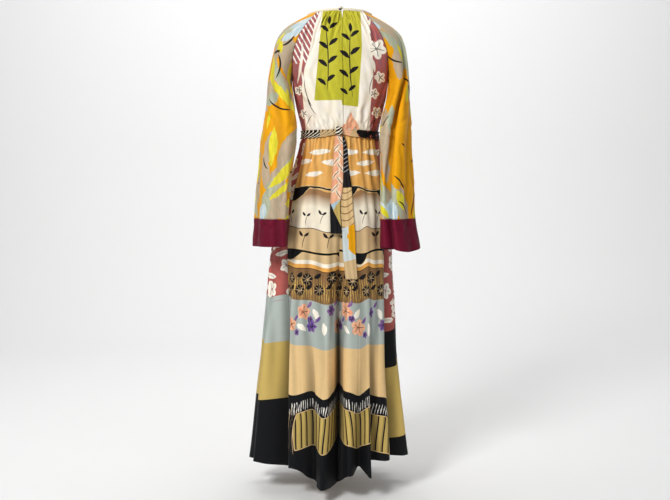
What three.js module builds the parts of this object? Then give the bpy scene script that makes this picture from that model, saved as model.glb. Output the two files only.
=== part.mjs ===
// A long-sleeved maxi dress in its worn, hollow form: gathered bodice with a keyhole at the centre back, raglan
// sleeves with wide cuffs, a long fluted skirt, and a sash tied at the back.
// Millimetres. +Z up, +X the wearer's right, +Y the wearer's front, so the back faces -Y.
// The origin is the middle of the neck opening, level with the back neckline, where the wearer holds the dress up.
import * as THREE from "three";

// ---------------------------------------------------------------- driving sizes
const CLOTH = 2; // wall of every cloth piece
const SEAM = 0.3; // gap between two pieces that are sewn together
const NECK_Z = -6; // back neckline
const UNDERARM_Z = -215;
const WAIST_Z = -384;
const CUFF_Z = -644; // where the sleeve ends and the cuff starts
const CUFF_HEM_Z = { left: -728, right: -735 };
const BACK_SEAM_X = 6; // the centre-back seam stands a little to the right as the dress hangs
const KEYHOLE = { width: 7, length: 36 };
const FRONT_NECK_DROP = 70;
const RAGLAN_NECK_Z = { back: -8, front: -30 }; // neckline where it meets each raglan seam

// Shoulders and armholes by height. raglan: x of the raglan seams; start: degrees round the sleeve from its inner
// side at which it leaves the back seam; depth: half depth of the sleeve; back, front: depth of the body at its
// middle; left, right: outer edge of each sleeve; shift: y of the sleeve's middle.
const YOKE = [
  { z: 0, raglan: 66, start: 150, depth: 56, back: 56, front: 48, left: 74, right: 73, shift: 0 },
  { z: -26, raglan: 88, start: 133, depth: 70, back: 70, front: 60, left: 127, right: 123, shift: 0 },
  { z: -51, raglan: 106, start: 115, depth: 78, back: 80, front: 71, left: 168, right: 162, shift: 0 },
  { z: -77, raglan: 122, start: 98, depth: 81, back: 89, front: 81, left: 191, right: 189, shift: 0 },
  { z: -102, raglan: 133, start: 84, depth: 81, back: 96, front: 90, left: 202, right: 200, shift: -1 },
  { z: -128, raglan: 142, start: 68, depth: 79, back: 101, front: 99, left: 208, right: 206, shift: -3 },
  { z: -154, raglan: 147, start: 50, depth: 76, back: 104, front: 107, left: 213, right: 210, shift: -5 },
  { z: -185, raglan: 149, start: 26, depth: 75, back: 106, front: 114, left: 219, right: 213, shift: -8 },
  { z: -215, raglan: 150, start: 0, depth: 74, back: 107, front: 119, left: 224, right: 215, shift: -12 },
];

// Body between the underarm and the waist: half width, and depth at the back and front.
const BODY = [
  { z: -215, side: 150, back: 107, front: 119, seamY: -12 },
  { z: -262, side: 145, back: 104, front: 121, seamY: -6 },
  { z: -310, side: 135, back: 97, front: 110, seamY: -2 },
  { z: -350, side: 125, back: 90, front: 96, seamY: 0 },
  { z: -384, side: 118, back: 84, front: 86, seamY: 0 },
];

// Sleeves below the underarm: inner and outer edge of each, half depth along the long axis, the turn of that axis
// towards the body at the back, and the y of the middle. The sleeves hang back, behind the hips.
const SLEEVE = [
  { z: -215, leftIn: 150.4, leftOut: 224, rightIn: 150.4, rightOut: 215, long: 74, turn: 0, shift: -12 },
  { z: -275, leftIn: 145, leftOut: 232, rightIn: 143, rightOut: 220, long: 75, turn: 14, shift: -30 },
  { z: -336, leftIn: 135, leftOut: 241, rightIn: 127, rightOut: 223, long: 76, turn: 24, shift: -52 },
  { z: -384, leftIn: 131, leftOut: 248, rightIn: 119, rightOut: 224, long: 77, turn: 29, shift: -70 },
  { z: -450, leftIn: 137, leftOut: 254, rightIn: 119, rightOut: 225, long: 77, turn: 32, shift: -84 },
  { z: -537, leftIn: 147, leftOut: 261, rightIn: 120, rightOut: 228, long: 77, turn: 34, shift: -98 },
  { z: -644, leftIn: 154, leftOut: 267, rightIn: 119, rightOut: 232, long: 77, turn: 36, shift: -109 },
  { z: -740, leftIn: 157, leftOut: 272, rightIn: 119, rightOut: 247, long: 78, turn: 38, shift: -118 },
];

// Folds down the sleeves: degrees round the sleeve from its inner side over the back, at the shoulder and at the
// cuff, half width in degrees, depth, and the height where each begins.
const SLEEVE_FOLDS = {
  left: [
    { top: 60, cuff: 62, wide: 17, depth: 9, from: -260 },
    { top: 140, cuff: 112, wide: 20, depth: 10, from: -90 },
    { top: 215, cuff: 205, wide: 22, depth: 9, from: -150 },
    { top: 290, cuff: 285, wide: 22, depth: 12, from: -260 },
  ],
  right: [
    { top: 138, cuff: 104, wide: 15, depth: 26, from: -70 },
    { top: 200, cuff: 178, wide: 18, depth: 9, from: -200 },
    { top: 300, cuff: 285, wide: 24, depth: 14, from: -240 },
  ],
};

// Skirt by height: its reach to the left, right, back and front.
const SKIRT = [
  { z: -384, left: 118, right: 118, back: 84, front: 86 },
  { z: -450, left: 135, right: 129, back: 98, front: 98 },
  { z: -520, left: 158, right: 142, back: 113, front: 112 },
  { z: -600, left: 184, right: 152, back: 128, front: 126 },
  { z: -745, left: 218, right: 163, back: 146, front: 144 },
  { z: -920, left: 237, right: 174, back: 162, front: 162 },
  { z: -1075, left: 256, right: 181, back: 174, front: 176 },
  { z: -1229, left: 272, right: 196, back: 184, front: 190 },
  { z: -1430, left: 290, right: 214, back: 194, front: 204 },
];

// The skirt's flutes, round from the centre back towards the wearer's right. Each row is a valley and the crest
// after it: the valley's angle at waist and hem, its depth at the hem, how narrow it is, the height where it
// begins, how far the crest after it swells at the hem, and the hem's height at valley and crest.
const FLUTES = [
  { waist: 0, hem: -3, depth: 104, narrow: 7, from: -560, swell: 4, valleyZ: -1464, crestZ: -1416 },
  { waist: 22, hem: 16, depth: 34, narrow: 4, from: -1050, swell: 12, valleyZ: -1396, crestZ: -1424 },
  { waist: 38, hem: 27.5, depth: 36, narrow: 4, from: -820, swell: -2, valleyZ: -1382, crestZ: -1384 },
  { waist: 64, hem: 58, depth: 48, narrow: 5, from: -520, swell: 15, valleyZ: -1384, crestZ: -1388 },
  { waist: 90, hem: 88, depth: 30, narrow: 3.4, from: -700, swell: 15, valleyZ: -1396, crestZ: -1404 },
  { waist: 116, hem: 114, depth: 46, narrow: 4, from: -620, swell: 4, valleyZ: -1406, crestZ: -1412 },
  { waist: 142, hem: 140, depth: 40, narrow: 3.2, from: -700, swell: 8, valleyZ: -1410, crestZ: -1418 },
  { waist: 168, hem: 166, depth: 52, narrow: 4.4, from: -640, swell: 10, valleyZ: -1412, crestZ: -1424 },
  { waist: 194, hem: 193, depth: 38, narrow: 3.2, from: -780, swell: 6, valleyZ: -1414, crestZ: -1420 },
  { waist: 220, hem: 219, depth: 48, narrow: 4, from: -660, swell: 4, valleyZ: -1412, crestZ: -1420 },
  { waist: 245, hem: 246, depth: 44, narrow: 4, from: -620, swell: 12, valleyZ: -1414, crestZ: -1420 },
  { waist: 272, hem: 277, depth: 26, narrow: 3, from: -800, swell: 17, valleyZ: -1416, crestZ: -1402 },
  { waist: 300, hem: 313, depth: 62, narrow: 5, from: -520, swell: 0, valleyZ: -1412, crestZ: -1402 },
  { waist: 331, hem: 339, depth: 36, narrow: 4, from: -1000, swell: 16, valleyZ: -1440, crestZ: -1456 },
];
const FLUTE_STEPS = [0, 0.1, 0.27, 0.5, 0.73, 0.9]; // columns of the grid from one valley towards the next
const WAVES_PER_FLUTE = 1.5; // small gathers under the belt
const GATHER = { neck: 3.4, neckFade: 36, waist: 3, waistFade: 40, rise: 9 };
const GATHERS = { back: 6, front: 8 }; // in each half of the back, and across the front
const SOFT_FOLD = 3.2; // the long soft folds of the bodice

const BELT = { height: 24, wall: 2.4, clear: 1.2, pleat: 1.4 };
const KNOT = { width: 23, height: 27, depth: 16, x: -4, z: -377 };
const BUTTON = { diameter: 12, height: 6, x: 1.5, z: -2.5, tilt: 14 };
const LOOP = { thick: 1.8, tail: 9 };
const BINDING = { height: 7, wall: 3, above: 0.6 };

// Sash tails by height: middle and width, and how far the outer face stands off the skirt. They leave the knot in
// front of the belt; the left one hangs over the edge of the right one.
const TAIL_WALL = 1.6;
const TAILS = {
  left: [
    { z: -391, x: -5, width: 20, lift: 10.4 },
    { z: -399, x: -5, width: 22, lift: 10.2 },
    { z: -412, x: -5, width: 25, lift: 9.2 },
    { z: -435, x: -5.5, width: 28, lift: 8.4 },
    { z: -479, x: -6, width: 31, lift: 8 },
    { z: -550, x: -10.5, width: 34, lift: 8 },
    { z: -592, x: -14.5, width: 31, lift: 8 },
    { z: -640, x: -14.5, width: 32, lift: 8.2 },
    { z: -688, x: -13.5, width: 34, lift: 9 },
  ],
  right: [
    { z: -391, x: 5, width: 9, lift: 7.6 },
    { z: -399, x: 7, width: 11, lift: 7.5 },
    { z: -412, x: 10, width: 13, lift: 6.2 },
    { z: -435, x: 14, width: 15, lift: 5.2 },
    { z: -479, x: 17, width: 18, lift: 5 },
    { z: -550, x: 20, width: 28, lift: 5 },
    { z: -600, x: 21, width: 36, lift: 5 },
    { z: -660, x: 23.5, width: 39, lift: 5 },
    { z: -720, x: 26, width: 39, lift: 4.6 },
    { z: -825, x: 33, width: 36, lift: 4.6 },
  ],
};

const COLOURS = {
  sleeve: 0xd39b1d,
  cuff: 0x610e26,
  cream: 0xeae0cc,
  lime: 0xb9b13a,
  sand: 0xd0ab72,
  side: 0xa9604f,
  hem: 0x15171a,
  sash: 0xc79a6a,
  binding: 0xf1ead2,
  button: 0xb8b49c,
};

// ---------------------------------------------------------------- small helpers
const radians = THREE.MathUtils.degToRad;
const mix = THREE.MathUtils.lerp;
const clamp01 = (v) => THREE.MathUtils.clamp(v, 0, 1);
const ease = (v) => clamp01(v) ** 2 * (3 - 2 * clamp01(v));

// A smooth curve through one column of a table, read by height: a cubic whose slope at each row is that of its
// two neighbours.
function column(table, key, z) {
  const last = table.length - 1;
  let i = 0;
  while (i < last - 1 && z < table[i + 1].z) i += 1;
  const slope = (k) => {
    const a = table[Math.max(k - 1, 0)];
    const b = table[Math.min(k + 1, last)];
    return (b[key] - a[key]) / (b.z - a.z);
  };
  const [p, q] = [table[i], table[i + 1]];
  const span = q.z - p.z;
  const f = (z - p.z) / span;
  const h = f * f * (3 - 2 * f);
  const bend = f * (1 - f) * span * ((1 - f) * slope(i) - f * slope(i + 1));
  return mix(p[key], q[key], h) + bend;
}

// Height of a gather at a distance from the line it is drawn up on: none on the line, most just off it, then
// fading out.
const gathered = (amount, fade, distance) => {
  const d = Math.max(distance, 0);
  return amount * (1 - Math.exp(-d / GATHER.rise)) * Math.exp(-d / fade);
};

// Reads a list of values at a fractional index, straight between the entries.
function at(list, index) {
  const i = Math.min(Math.max(Math.floor(index), 0), list.length - 2);
  return mix(list[i], list[i + 1], index - i);
}

const outFromAxis = (p, amount) => {
  const reach = Math.hypot(p.x, p.y);
  p.x += (p.x / reach) * amount;
  p.y += (p.y / reach) * amount;
  return p;
};

// ---------------------------------------------------------------- cloth walls
// A closed wall over a grid of points. point(c, r) gives the outer face, c running counter-clockwise seen from
// above and r running down. Columns 0 and `columns` are one and the same from row `joined` down, so the wall is a
// tube there. The inner face lies one wall thickness behind the outer one, along its normals; edge(c, r, normal)
// may turn the normals of the two side edges, to mitre them with a neighbour.
function wall(point, columns, rows, { joined = Infinity, edge = null, thickness = CLOTH } = {}) {
  const step = 0.02;
  const outer = [];
  const inner = [];
  const id = (c, r) => r * (columns + 1) + (r >= joined && c === columns ? 0 : c);
  for (let r = 0; r <= rows; r += 1) {
    for (let c = 0; c <= columns; c += 1) {
      const wrap = r >= joined && c === 0;
      const across = wrap
        ? point(step, r).sub(point(columns - step, r))
        : point(Math.min(c + step, columns), r).sub(point(Math.max(c - step, 0), r));
      const down = point(c, Math.min(r + step, rows)).sub(point(c, Math.max(r - step, 0)));
      const normal = down.cross(across).normalize();
      if (edge && (c === 0 || c === columns)) edge(c, r, normal);
      const p = point(c, r);
      outer.push(p);
      inner.push(p.clone().addScaledVector(normal, -thickness));
    }
  }
  const count = outer.length;
  const faces = [];
  const quad = (a, b, c, d) => faces.push(a, b, c, a, c, d);
  for (let r = 0; r < rows; r += 1) {
    for (let c = 0; c < columns; c += 1) {
      const [a, b] = [id(c, r), id(c + 1, r)];
      const [d, e] = [id(c, r + 1), id(c + 1, r + 1)];
      quad(a, d, e, b);
      quad(a + count, b + count, e + count, d + count);
    }
  }
  for (let c = 0; c < columns; c += 1) {
    const [a, b] = [id(c, 0), id(c + 1, 0)];
    quad(a, b, b + count, a + count);
    const [d, e] = [id(c, rows), id(c + 1, rows)];
    quad(e, d, d + count, e + count);
  }
  for (let r = 0; r < Math.min(rows, joined); r += 1) {
    const [a, d] = [id(0, r), id(0, r + 1)];
    quad(d, a, a + count, d + count);
    const [b, e] = [id(columns, r), id(columns, r + 1)];
    quad(b, e, e + count, b + count);
  }
  const geometry = new THREE.BufferGeometry();
  const flat = [...outer, ...inner].flatMap((p) => [p.x, p.y, p.z]);
  geometry.setAttribute("position", new THREE.Float32BufferAttribute(flat, 3));
  geometry.setIndex(faces);
  return geometry;
}

const group = new THREE.Group();
function add(name, geometry, colour, roughness = 0.7) {
  const material = new THREE.MeshStandardMaterial({ color: colour, roughness, metalness: 0 });
  const mesh = new THREE.Mesh(geometry, material);
  mesh.name = name;
  group.add(mesh);
}

// ---------------------------------------------------------------- bodice
const YOKE_STEPS = [0, 0.04, 0.1, 0.2, 0.36, 0.56, 0.78, 1];
const YOKE_ROWS = YOKE_STEPS.length - 1;
const BODY_LEVELS = [UNDERARM_Z, -262, -305, -338, -358, WAIST_Z + BELT.height / 2, WAIST_Z + SEAM / 2];

const backNeckZ = (t) => mix(NECK_Z, RAGLAN_NECK_Z.back, t * t);
const frontNeckZ = (t) => RAGLAN_NECK_Z.front - (FRONT_NECK_DROP + RAGLAN_NECK_Z.front) * (1 - t * t);

// Height of a row of the bodice: rows in the yoke spread from the neckline to the underarm, the rest are level.
function bodiceZ(neckZ, r) {
  if (r <= YOKE_ROWS) return mix(neckZ, UNDERARM_Z, at(YOKE_STEPS, r));
  return at(BODY_LEVELS, r - YOKE_ROWS);
}

// The seam between a body panel and a sleeve, or the side seam below the underarm: x and y at a height.
function bodyEdge(z, face) {
  if (z < UNDERARM_Z) return { x: column(BODY, "side", z), y: column(BODY, "seamY", z) };
  const spread = Math.sin(radians(column(YOKE, "start", z))) * column(YOKE, "depth", z);
  return { x: column(YOKE, "raglan", z), y: column(YOKE, "shift", z) - face * spread };
}

// Point of the back (face 1) or front (face -1) at u from -1 to 1 across it. Above the underarm it runs level
// into the sleeve; below, it rounds to the side seam.
function bodyPoint(face, u, z, gathers, neckZ, inset = 0) {
  const edge = bodyEdge(z, face);
  const round = z < UNDERARM_Z ? 1 : ease((YOKE[4].z - z) / (YOKE[4].z - UNDERARM_Z));
  const across = mix(u, Math.sin((u * Math.PI) / 2), round);
  const crown = mix(1 - u * u, Math.cos((u * Math.PI) / 2), round);
  const table = z < UNDERARM_Z ? BODY : YOKE;
  const middle = -face * column(table, face > 0 ? "back" : "front", z);
  const p = new THREE.Vector3(edge.x * across, mix(edge.y, middle, crown), z);
  const fromNeck = neckZ - z;
  const fromWaist = z - WAIST_Z;
  const wave = Math.cos(2 * Math.PI * gathers * Math.abs(u));
  const small = gathered(GATHER.neck, GATHER.neckFade, fromNeck)
    + gathered(GATHER.waist, GATHER.waistFade, fromWaist - BELT.height / 2);
  const long = SOFT_FOLD * Math.sin(Math.PI * clamp01(fromNeck / (neckZ - WAIST_Z))) ** 2
    * Math.cos(2 * Math.PI * (2.3 * u + 0.15));
  const still = (1 - u ** 6) ** 2;
  outFromAxis(p, (small * wave + long) * still);
  p.x -= inset * Math.sign(u);
  return p;
}

const BACK_COLUMNS = GATHERS.back * 4;
function backHalf(side) {
  const keyhole = (z) => {
    const open = clamp01(1 + (z - NECK_Z) / KEYHOLE.length);
    return mix(SEAM, KEYHOLE.width, open) / 2;
  };
  const point = (c, r) => {
    const t = side > 0 ? c / BACK_COLUMNS : 1 - c / BACK_COLUMNS;
    const neckZ = backNeckZ(t);
    const z = bodiceZ(neckZ, r);
    const start = (BACK_SEAM_X + side * keyhole(z)) / bodyEdge(z, 1).x;
    const u = mix(start, side, t);
    return bodyPoint(1, u, z, GATHERS.back, neckZ);
  };
  const edge = (c, r, normal) => {
    if (c === (side > 0 ? BACK_COLUMNS : 0)) mitre(normal, side, 1, point(c, r).z);
  };
  return wall(point, BACK_COLUMNS, YOKE_ROWS + BODY_LEVELS.length - 1, { edge });
}

// The front stands one seam gap forward of the back where the two meet at the side.
const sideGap = (z) => SEAM * ease((UNDERARM_Z + 30 - z) / 30);

// The front runs from the right seam to the left one, so that its columns go counter-clockwise.
function frontBodice() {
  const columns = GATHERS.front * 4;
  const point = (c, r) => {
    const u = 1 - (2 * c) / columns;
    const neckZ = frontNeckZ(u);
    const z = bodiceZ(neckZ, r);
    const p = bodyPoint(-1, u, z, GATHERS.front / 2, neckZ);
    p.y += sideGap(z);
    return p;
  };
  const edge = (c, r, normal) => mitre(normal, c === 0 ? 1 : -1, -1, point(c, r).z);
  return wall(point, columns, YOKE_ROWS + BODY_LEVELS.length - 1, { edge });
}

// ---------------------------------------------------------------- sleeves and cuffs
const SLEEVE_COLUMNS = 24;
const SLEEVE_LEVELS = [UNDERARM_Z, -275, -336, -400, -480, -560, CUFF_Z];
const RAGLAN_GAP = 0.5; // along x, which leaves about 0.3 mm across the slanting seam

// The level section of a sleeve: an ellipse whose long axis turns towards the body at the back as it goes down.
// angle runs from the inner side over the back; hand is 1 for the wearer's right.
function sleevePoint(hand, angle, z) {
  const side = hand > 0 ? "right" : "left";
  let section;
  if (z >= UNDERARM_Z) {
    const outer = column(YOKE, side, z);
    const short = (outer - column(YOKE, "raglan", z)) / (1 + Math.cos(radians(column(YOKE, "start", z))));
    section = { x: outer - short, y: column(YOKE, "shift", z), long: column(YOKE, "depth", z), short, turn: 0 };
  } else {
    const inner = column(SLEEVE, `${side}In`, z);
    const outer = column(SLEEVE, `${side}Out`, z);
    const long = column(SLEEVE, "long", z);
    const turn = radians(column(SLEEVE, "turn", z));
    const half = (outer - inner) / 2;
    const short = Math.sqrt(half ** 2 - (long * Math.sin(turn)) ** 2) / Math.cos(turn);
    section = { x: (inner + outer) / 2, y: column(SLEEVE, "shift", z), long, short, turn };
  }
  const along = -section.short * Math.cos(angle);
  const back = section.long * Math.sin(angle);
  const [s, c] = [Math.sin(section.turn), Math.cos(section.turn)];
  let dx = along * c - back * s;
  let dy = -along * s - back * c;
  const degrees = THREE.MathUtils.radToDeg(angle);
  const down = clamp01((YOKE[2].z - z) / (YOKE[2].z - CUFF_Z));
  let fold = 0;
  for (const f of SLEEVE_FOLDS[side]) {
    const off = (degrees - mix(f.top, f.cuff, down)) / f.wide;
    fold -= f.depth * ease((f.from - z) / 240) * Math.exp(-off * off);
  }
  const reach = Math.hypot(dx, dy);
  dx += (dx / reach) * fold;
  dy += (dy / reach) * fold;
  return new THREE.Vector3(hand * (section.x + dx + RAGLAN_GAP), section.y + dy, z);
}

// Share of the way round to an angle. Above the underarm the sleeve is open between its two raglan seams.
function sleeveAngle(share, z) {
  const start = z >= UNDERARM_Z ? radians(column(YOKE, "start", z)) : 0;
  return mix(start, 2 * Math.PI - start, share);
}

// Turns a normal at a raglan seam to the one that body and sleeve share there, so that their edges lie parallel.
// Lower down, where the two form the hollow of the underarm, each keeps its own.
function mitre(normal, hand, face, z) {
  const seam = (v) => {
    const { x, y } = bodyEdge(Math.min(v, NECK_Z), face);
    return new THREE.Vector3(hand * x, y, v);
  };
  const share = ease((z - YOKE[6].z) / (YOKE[3].z - YOKE[6].z));
  if (share === 0) return;
  const down = seam(z - 1).sub(seam(z + 1));
  const across = sleevePoint(hand, sleeveAngle(face > 0 ? 0.02 : 0.98, z), z);
  across.sub(bodyPoint(face, 0.97 * hand, z, 0, z)).multiplyScalar(hand * face);
  normal.lerp(down.cross(across).normalize(), share).normalize();
}

const shareOf = (hand, c) => (hand > 0 ? c / SLEEVE_COLUMNS : 1 - c / SLEEVE_COLUMNS);
const sleeveNeckZ = (share) => mix(RAGLAN_NECK_Z.back, RAGLAN_NECK_Z.front, share ** 2.6);

function sleeve(hand) {
  const point = (c, r) => {
    const share = shareOf(hand, c);
    const z = r <= YOKE_ROWS
      ? mix(sleeveNeckZ(share), UNDERARM_Z, at(YOKE_STEPS, r))
      : at(SLEEVE_LEVELS, r - YOKE_ROWS);
    return sleevePoint(hand, sleeveAngle(share, z), z);
  };
  const edge = (c, r, normal) => {
    if (r < YOKE_ROWS) mitre(normal, hand, c === (hand > 0 ? 0 : SLEEVE_COLUMNS) ? 1 : -1, point(c, r).z);
  };
  return wall(point, SLEEVE_COLUMNS, YOKE_ROWS + SLEEVE_LEVELS.length - 1, { joined: YOKE_ROWS, edge });
}

// A cuff goes on down from the sleeve; its hem dips and lifts a little round the wrist.
function cuff(hand) {
  const rows = 3;
  const hem = CUFF_HEM_Z[hand > 0 ? "right" : "left"];
  const point = (c, r) => {
    const share = shareOf(hand, c);
    const wave = hand > 0 ? 7 * Math.sin(radians(720 * share - 60)) : 2 * Math.sin(radians(360 * share));
    const z = mix(CUFF_Z - SEAM, hem + wave, r / rows);
    return sleevePoint(hand, sleeveAngle(share, z), z);
  };
  return wall(point, SLEEVE_COLUMNS, rows, { joined: 0 });
}

add("bodice_back_left", backHalf(-1), COLOURS.lime);
add("bodice_back_right", backHalf(1), COLOURS.lime);
add("bodice_front", frontBodice(), COLOURS.cream);

for (const [side, hand] of [["left", -1], ["right", 1]]) {
  add(`sleeve_${side}`, sleeve(hand), COLOURS.sleeve);
  add(`cuff_${side}`, cuff(hand), COLOURS.cuff);
}

// ---------------------------------------------------------------- skirt
const SKIRT_STEPS = [0, 0.0115, 0.026, 0.056, 0.11, 0.19, 0.28, 0.38, 0.49, 0.61, 0.74, 0.87, 1];
const SKIRT_ROWS = SKIRT_STEPS.length - 1;
const flute = (k) => {
  const turns = Math.floor(k / FLUTES.length);
  const row = FLUTES[k - turns * FLUTES.length];
  return { ...row, waist: row.waist + 360 * turns, hem: row.hem + 360 * turns };
};

// A level section through four reaches, smooth where the four quarters meet.
function sectionPoint(angle, z) {
  const [left, right, back, front] = ["left", "right", "back", "front"].map((k) => column(SKIRT, k, z));
  const [s, c] = [Math.sin(angle), Math.cos(angle)];
  const x = ((right + left) / 2) * s + ((right - left) / 2) * s * s;
  const y = -((back + front) / 2) * c - ((back - front) / 2) * c * c;
  return new THREE.Vector3(x, y, z);
}

// phase counts valleys round the skirt; a whole number is the bottom of a valley.
function skirtZ(phase, share) {
  const k = Math.floor(phase);
  const f = phase - k;
  const [a, b] = [flute(k), flute(k + 1)];
  const crest = 0.5 - 0.5 * Math.cos(2 * Math.PI * f);
  const hem = mix(mix(a.valleyZ, b.valleyZ, ease(f)), a.crestZ, crest);
  return mix(WAIST_Z - SEAM / 2, hem, share);
}

function skirtPoint(phase, z) {
  const k = Math.floor(phase);
  const f = phase - k;
  const [a, b] = [flute(k), flute(k + 1)];
  const down = clamp01((WAIST_Z - z) / (WAIST_Z - SKIRT.at(-1).z));
  const angle = mix(mix(a.waist, b.waist, f), mix(a.hem, b.hem, f), down);
  const p = sectionPoint(radians(angle), z);
  const valley = (row, g) => {
    const open = clamp01((row.from - z) / (row.from - SKIRT.at(-1).z));
    return row.depth * ease(open) ** 0.8 * Math.cos((Math.PI * g) / 2) ** (2 * row.narrow);
  };
  const swell = a.swell * down * down * Math.sin(Math.PI * f) ** 2;
  const gather = gathered(GATHER.waist, 2 * GATHER.waistFade, WAIST_Z - BELT.height / 2 - z)
    * Math.cos(2 * Math.PI * WAVES_PER_FLUTE * phase);
  return outFromAxis(p, swell + gather - valley(a, f) - valley(b, 1 - f));
}

// A panel between two valleys, each edge drawn in by half a seam gap.
function skirtPanel(from, to) {
  const count = FLUTE_STEPS.length;
  const columns = (to - from) * count;
  const steps = Array.from({ length: columns + 1 }, (_, c) => Math.floor(c / count) + FLUTE_STEPS[c % count]);
  const gapAt = (phase, share) => {
    const e = 0.01;
    const [z0, z1] = [skirtZ(phase - e, share), skirtZ(phase + e, share)];
    const run = skirtPoint(phase + e, z1).distanceTo(skirtPoint(phase - e, z0)) / (2 * e);
    return SEAM / 2 / run;
  };
  const point = (c, r) => {
    const share = at(SKIRT_STEPS, r);
    const [low, high] = [from + gapAt(from, share), to - gapAt(to, share)];
    const phase = mix(low, high, at(steps, c) / (to - from));
    return skirtPoint(phase, skirtZ(phase, share));
  };
  return wall(point, columns, SKIRT_ROWS);
}

add("skirt_back_right", skirtPanel(0, 3), COLOURS.sand);
add("skirt_side_right", skirtPanel(3, 5), COLOURS.side);
add("skirt_front", skirtPanel(5, 10), COLOURS.sand);
add("skirt_side_left", skirtPanel(10, 12), COLOURS.side);
add("skirt_back_left", skirtPanel(12, 14), COLOURS.sand);

// ---------------------------------------------------------------- neck binding, button and loop
// Points of the neckline, from the keyhole's right edge round to its left.
function neckline() {
  const points = [];
  const backAt = (side, t) => {
    const z = backNeckZ(t);
    const start = (BACK_SEAM_X + (side * KEYHOLE.width) / 2) / bodyEdge(z, 1).x;
    points.push(bodyPoint(1, mix(start, side, t), z, 0, z));
  };
  const sleeveAt = (hand, share) => {
    const z = sleeveNeckZ(share);
    points.push(sleevePoint(hand, sleeveAngle(share, z), z));
  };
  const frontAt = (u) => {
    const z = frontNeckZ(u);
    points.push(bodyPoint(-1, u, z, 0, z));
  };
  const even = (n, from, to, use) => {
    for (let i = 0; i <= n; i += 1) use(mix(from, to, i / n));
  };
  even(8, 0, 1, (t) => backAt(1, t));
  even(6, 0.1, 0.9, (s) => sleeveAt(1, s));
  even(16, 1, -1, (u) => frontAt(u));
  even(6, 0.9, 0.1, (s) => sleeveAt(-1, s));
  even(8, 1, 0, (t) => backAt(-1, t));
  return points;
}

// A flat or round section carried along a path, closed at both ends. Each frame holds a point and the two
// directions its section is drawn in; their cross product points back along the path.
function strand(frames, section) {
  const sides = section.length;
  const points = frames.flatMap(({ p, a, b }) => section.map(([s, t]) => p.clone()
    .addScaledVector(a, s)
    .addScaledVector(b, t)));
  const faces = [];
  for (let i = 0; i < frames.length - 1; i += 1) {
    for (let k = 0; k < sides; k += 1) {
      const [m, n] = [i * sides + k, i * sides + ((k + 1) % sides)];
      faces.push(m, m + sides, n + sides, m, n + sides, n);
    }
  }
  const end = sides * (frames.length - 1);
  for (let k = 1; k < sides - 1; k += 1) {
    faces.push(0, k, k + 1);
    faces.push(end, end + k + 1, end + k);
  }
  const geometry = new THREE.BufferGeometry();
  geometry.setAttribute("position", new THREE.Float32BufferAttribute(points.flatMap((p) => [p.x, p.y, p.z]), 3));
  geometry.setIndex(faces);
  return geometry;
}

// The binding stands upright on the neckline.
function neckBinding() {
  const path = neckline();
  const frames = path.map((p, i) => {
    const along = path[Math.min(i + 1, path.length - 1)].clone().sub(path[Math.max(i - 1, 0)]).normalize();
    const a = along.clone().cross(new THREE.Vector3(0, 0, 1)).normalize();
    return { p, a, b: a.clone().cross(along) };
  });
  const [inner, outer] = [(-BINDING.wall - CLOTH) / 2, (BINDING.wall - CLOTH) / 2];
  const [low, high] = [BINDING.above, BINDING.above + BINDING.height];
  return strand(frames, [[inner, low], [outer, low], [outer, high], [inner, high]]);
}
add("neck_binding", neckBinding(), COLOURS.binding, 0.6);

// Outer face of the binding at the centre back.
const BINDING_FACE = -(column(YOKE, "back", NECK_Z) + (BINDING.wall - CLOTH) / 2);
const BUTTON_STAND = 2; // the cloth rounds outward below the binding

// Leans a piece drawn round the origin to the slope of the cloth and sets it at the button's place.
function onNeck(geometry) {
  geometry.rotateX(-radians(BUTTON.tilt));
  geometry.translate(BUTTON.x, BINDING_FACE - BUTTON_STAND, BUTTON.z);
  return geometry;
}

// A domed button on the left end of the binding, over the top of the keyhole.
function button() {
  const r = BUTTON.diameter / 2;
  const profile = [[0, 0], [0.8, 0], [1, 0.22], [0.97, 0.5], [0.8, 0.8], [0.45, 0.96], [0, 1]];
  const outline = profile.map(([x, y]) => new THREE.Vector2(x * r, y * BUTTON.height));
  const geometry = new THREE.LatheGeometry(outline, 20);
  geometry.rotateX(Math.PI);
  return onNeck(geometry);
}
add("button", button(), COLOURS.button, 0.5);

// The loop comes from the right end of the binding, passes round the button and goes back.
function buttonLoop() {
  const reach = (BUTTON.diameter + LOOP.thick) / 2 + 1.5 * SEAM;
  const y = -LOOP.thick / 2;
  const b = new THREE.Vector3(0, -1, 0);
  const frames = [];
  const put = (x, z, angle) => {
    const a = new THREE.Vector3(Math.cos(angle), 0, Math.sin(angle));
    frames.push({ p: new THREE.Vector3(x, y, z), a, b });
  };
  put(LOOP.tail, reach * 0.8, 1.75);
  for (let i = 0; i <= 14; i += 1) {
    const angle = mix(1.45, 2 * Math.PI - 1.45, i / 14);
    put(reach * Math.cos(angle), reach * Math.sin(angle), angle);
  }
  put(LOOP.tail, -reach * 0.8, -1.75);
  const round = (k) => [Math.cos((k * Math.PI) / 3), Math.sin((k * Math.PI) / 3)].map((v) => (v * LOOP.thick) / 2);
  return onNeck(strand(frames, [0, 1, 2, 3, 4, 5].map(round)));
}
add("button_loop", buttonLoop(), COLOURS.cream, 0.6);

// ---------------------------------------------------------------- sash
// Smooth section of the waist, of the bodice above it and of the skirt below.
function waistPoint(angle, z) {
  if (z < WAIST_Z) return sectionPoint(angle, z);
  const [side, back, front] = ["side", "back", "front"].map((k) => column(BODY, k, z));
  const depth = Math.cos(angle) > 0 ? back : front;
  return new THREE.Vector3(side * Math.sin(angle), -depth * Math.cos(angle), z);
}

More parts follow.
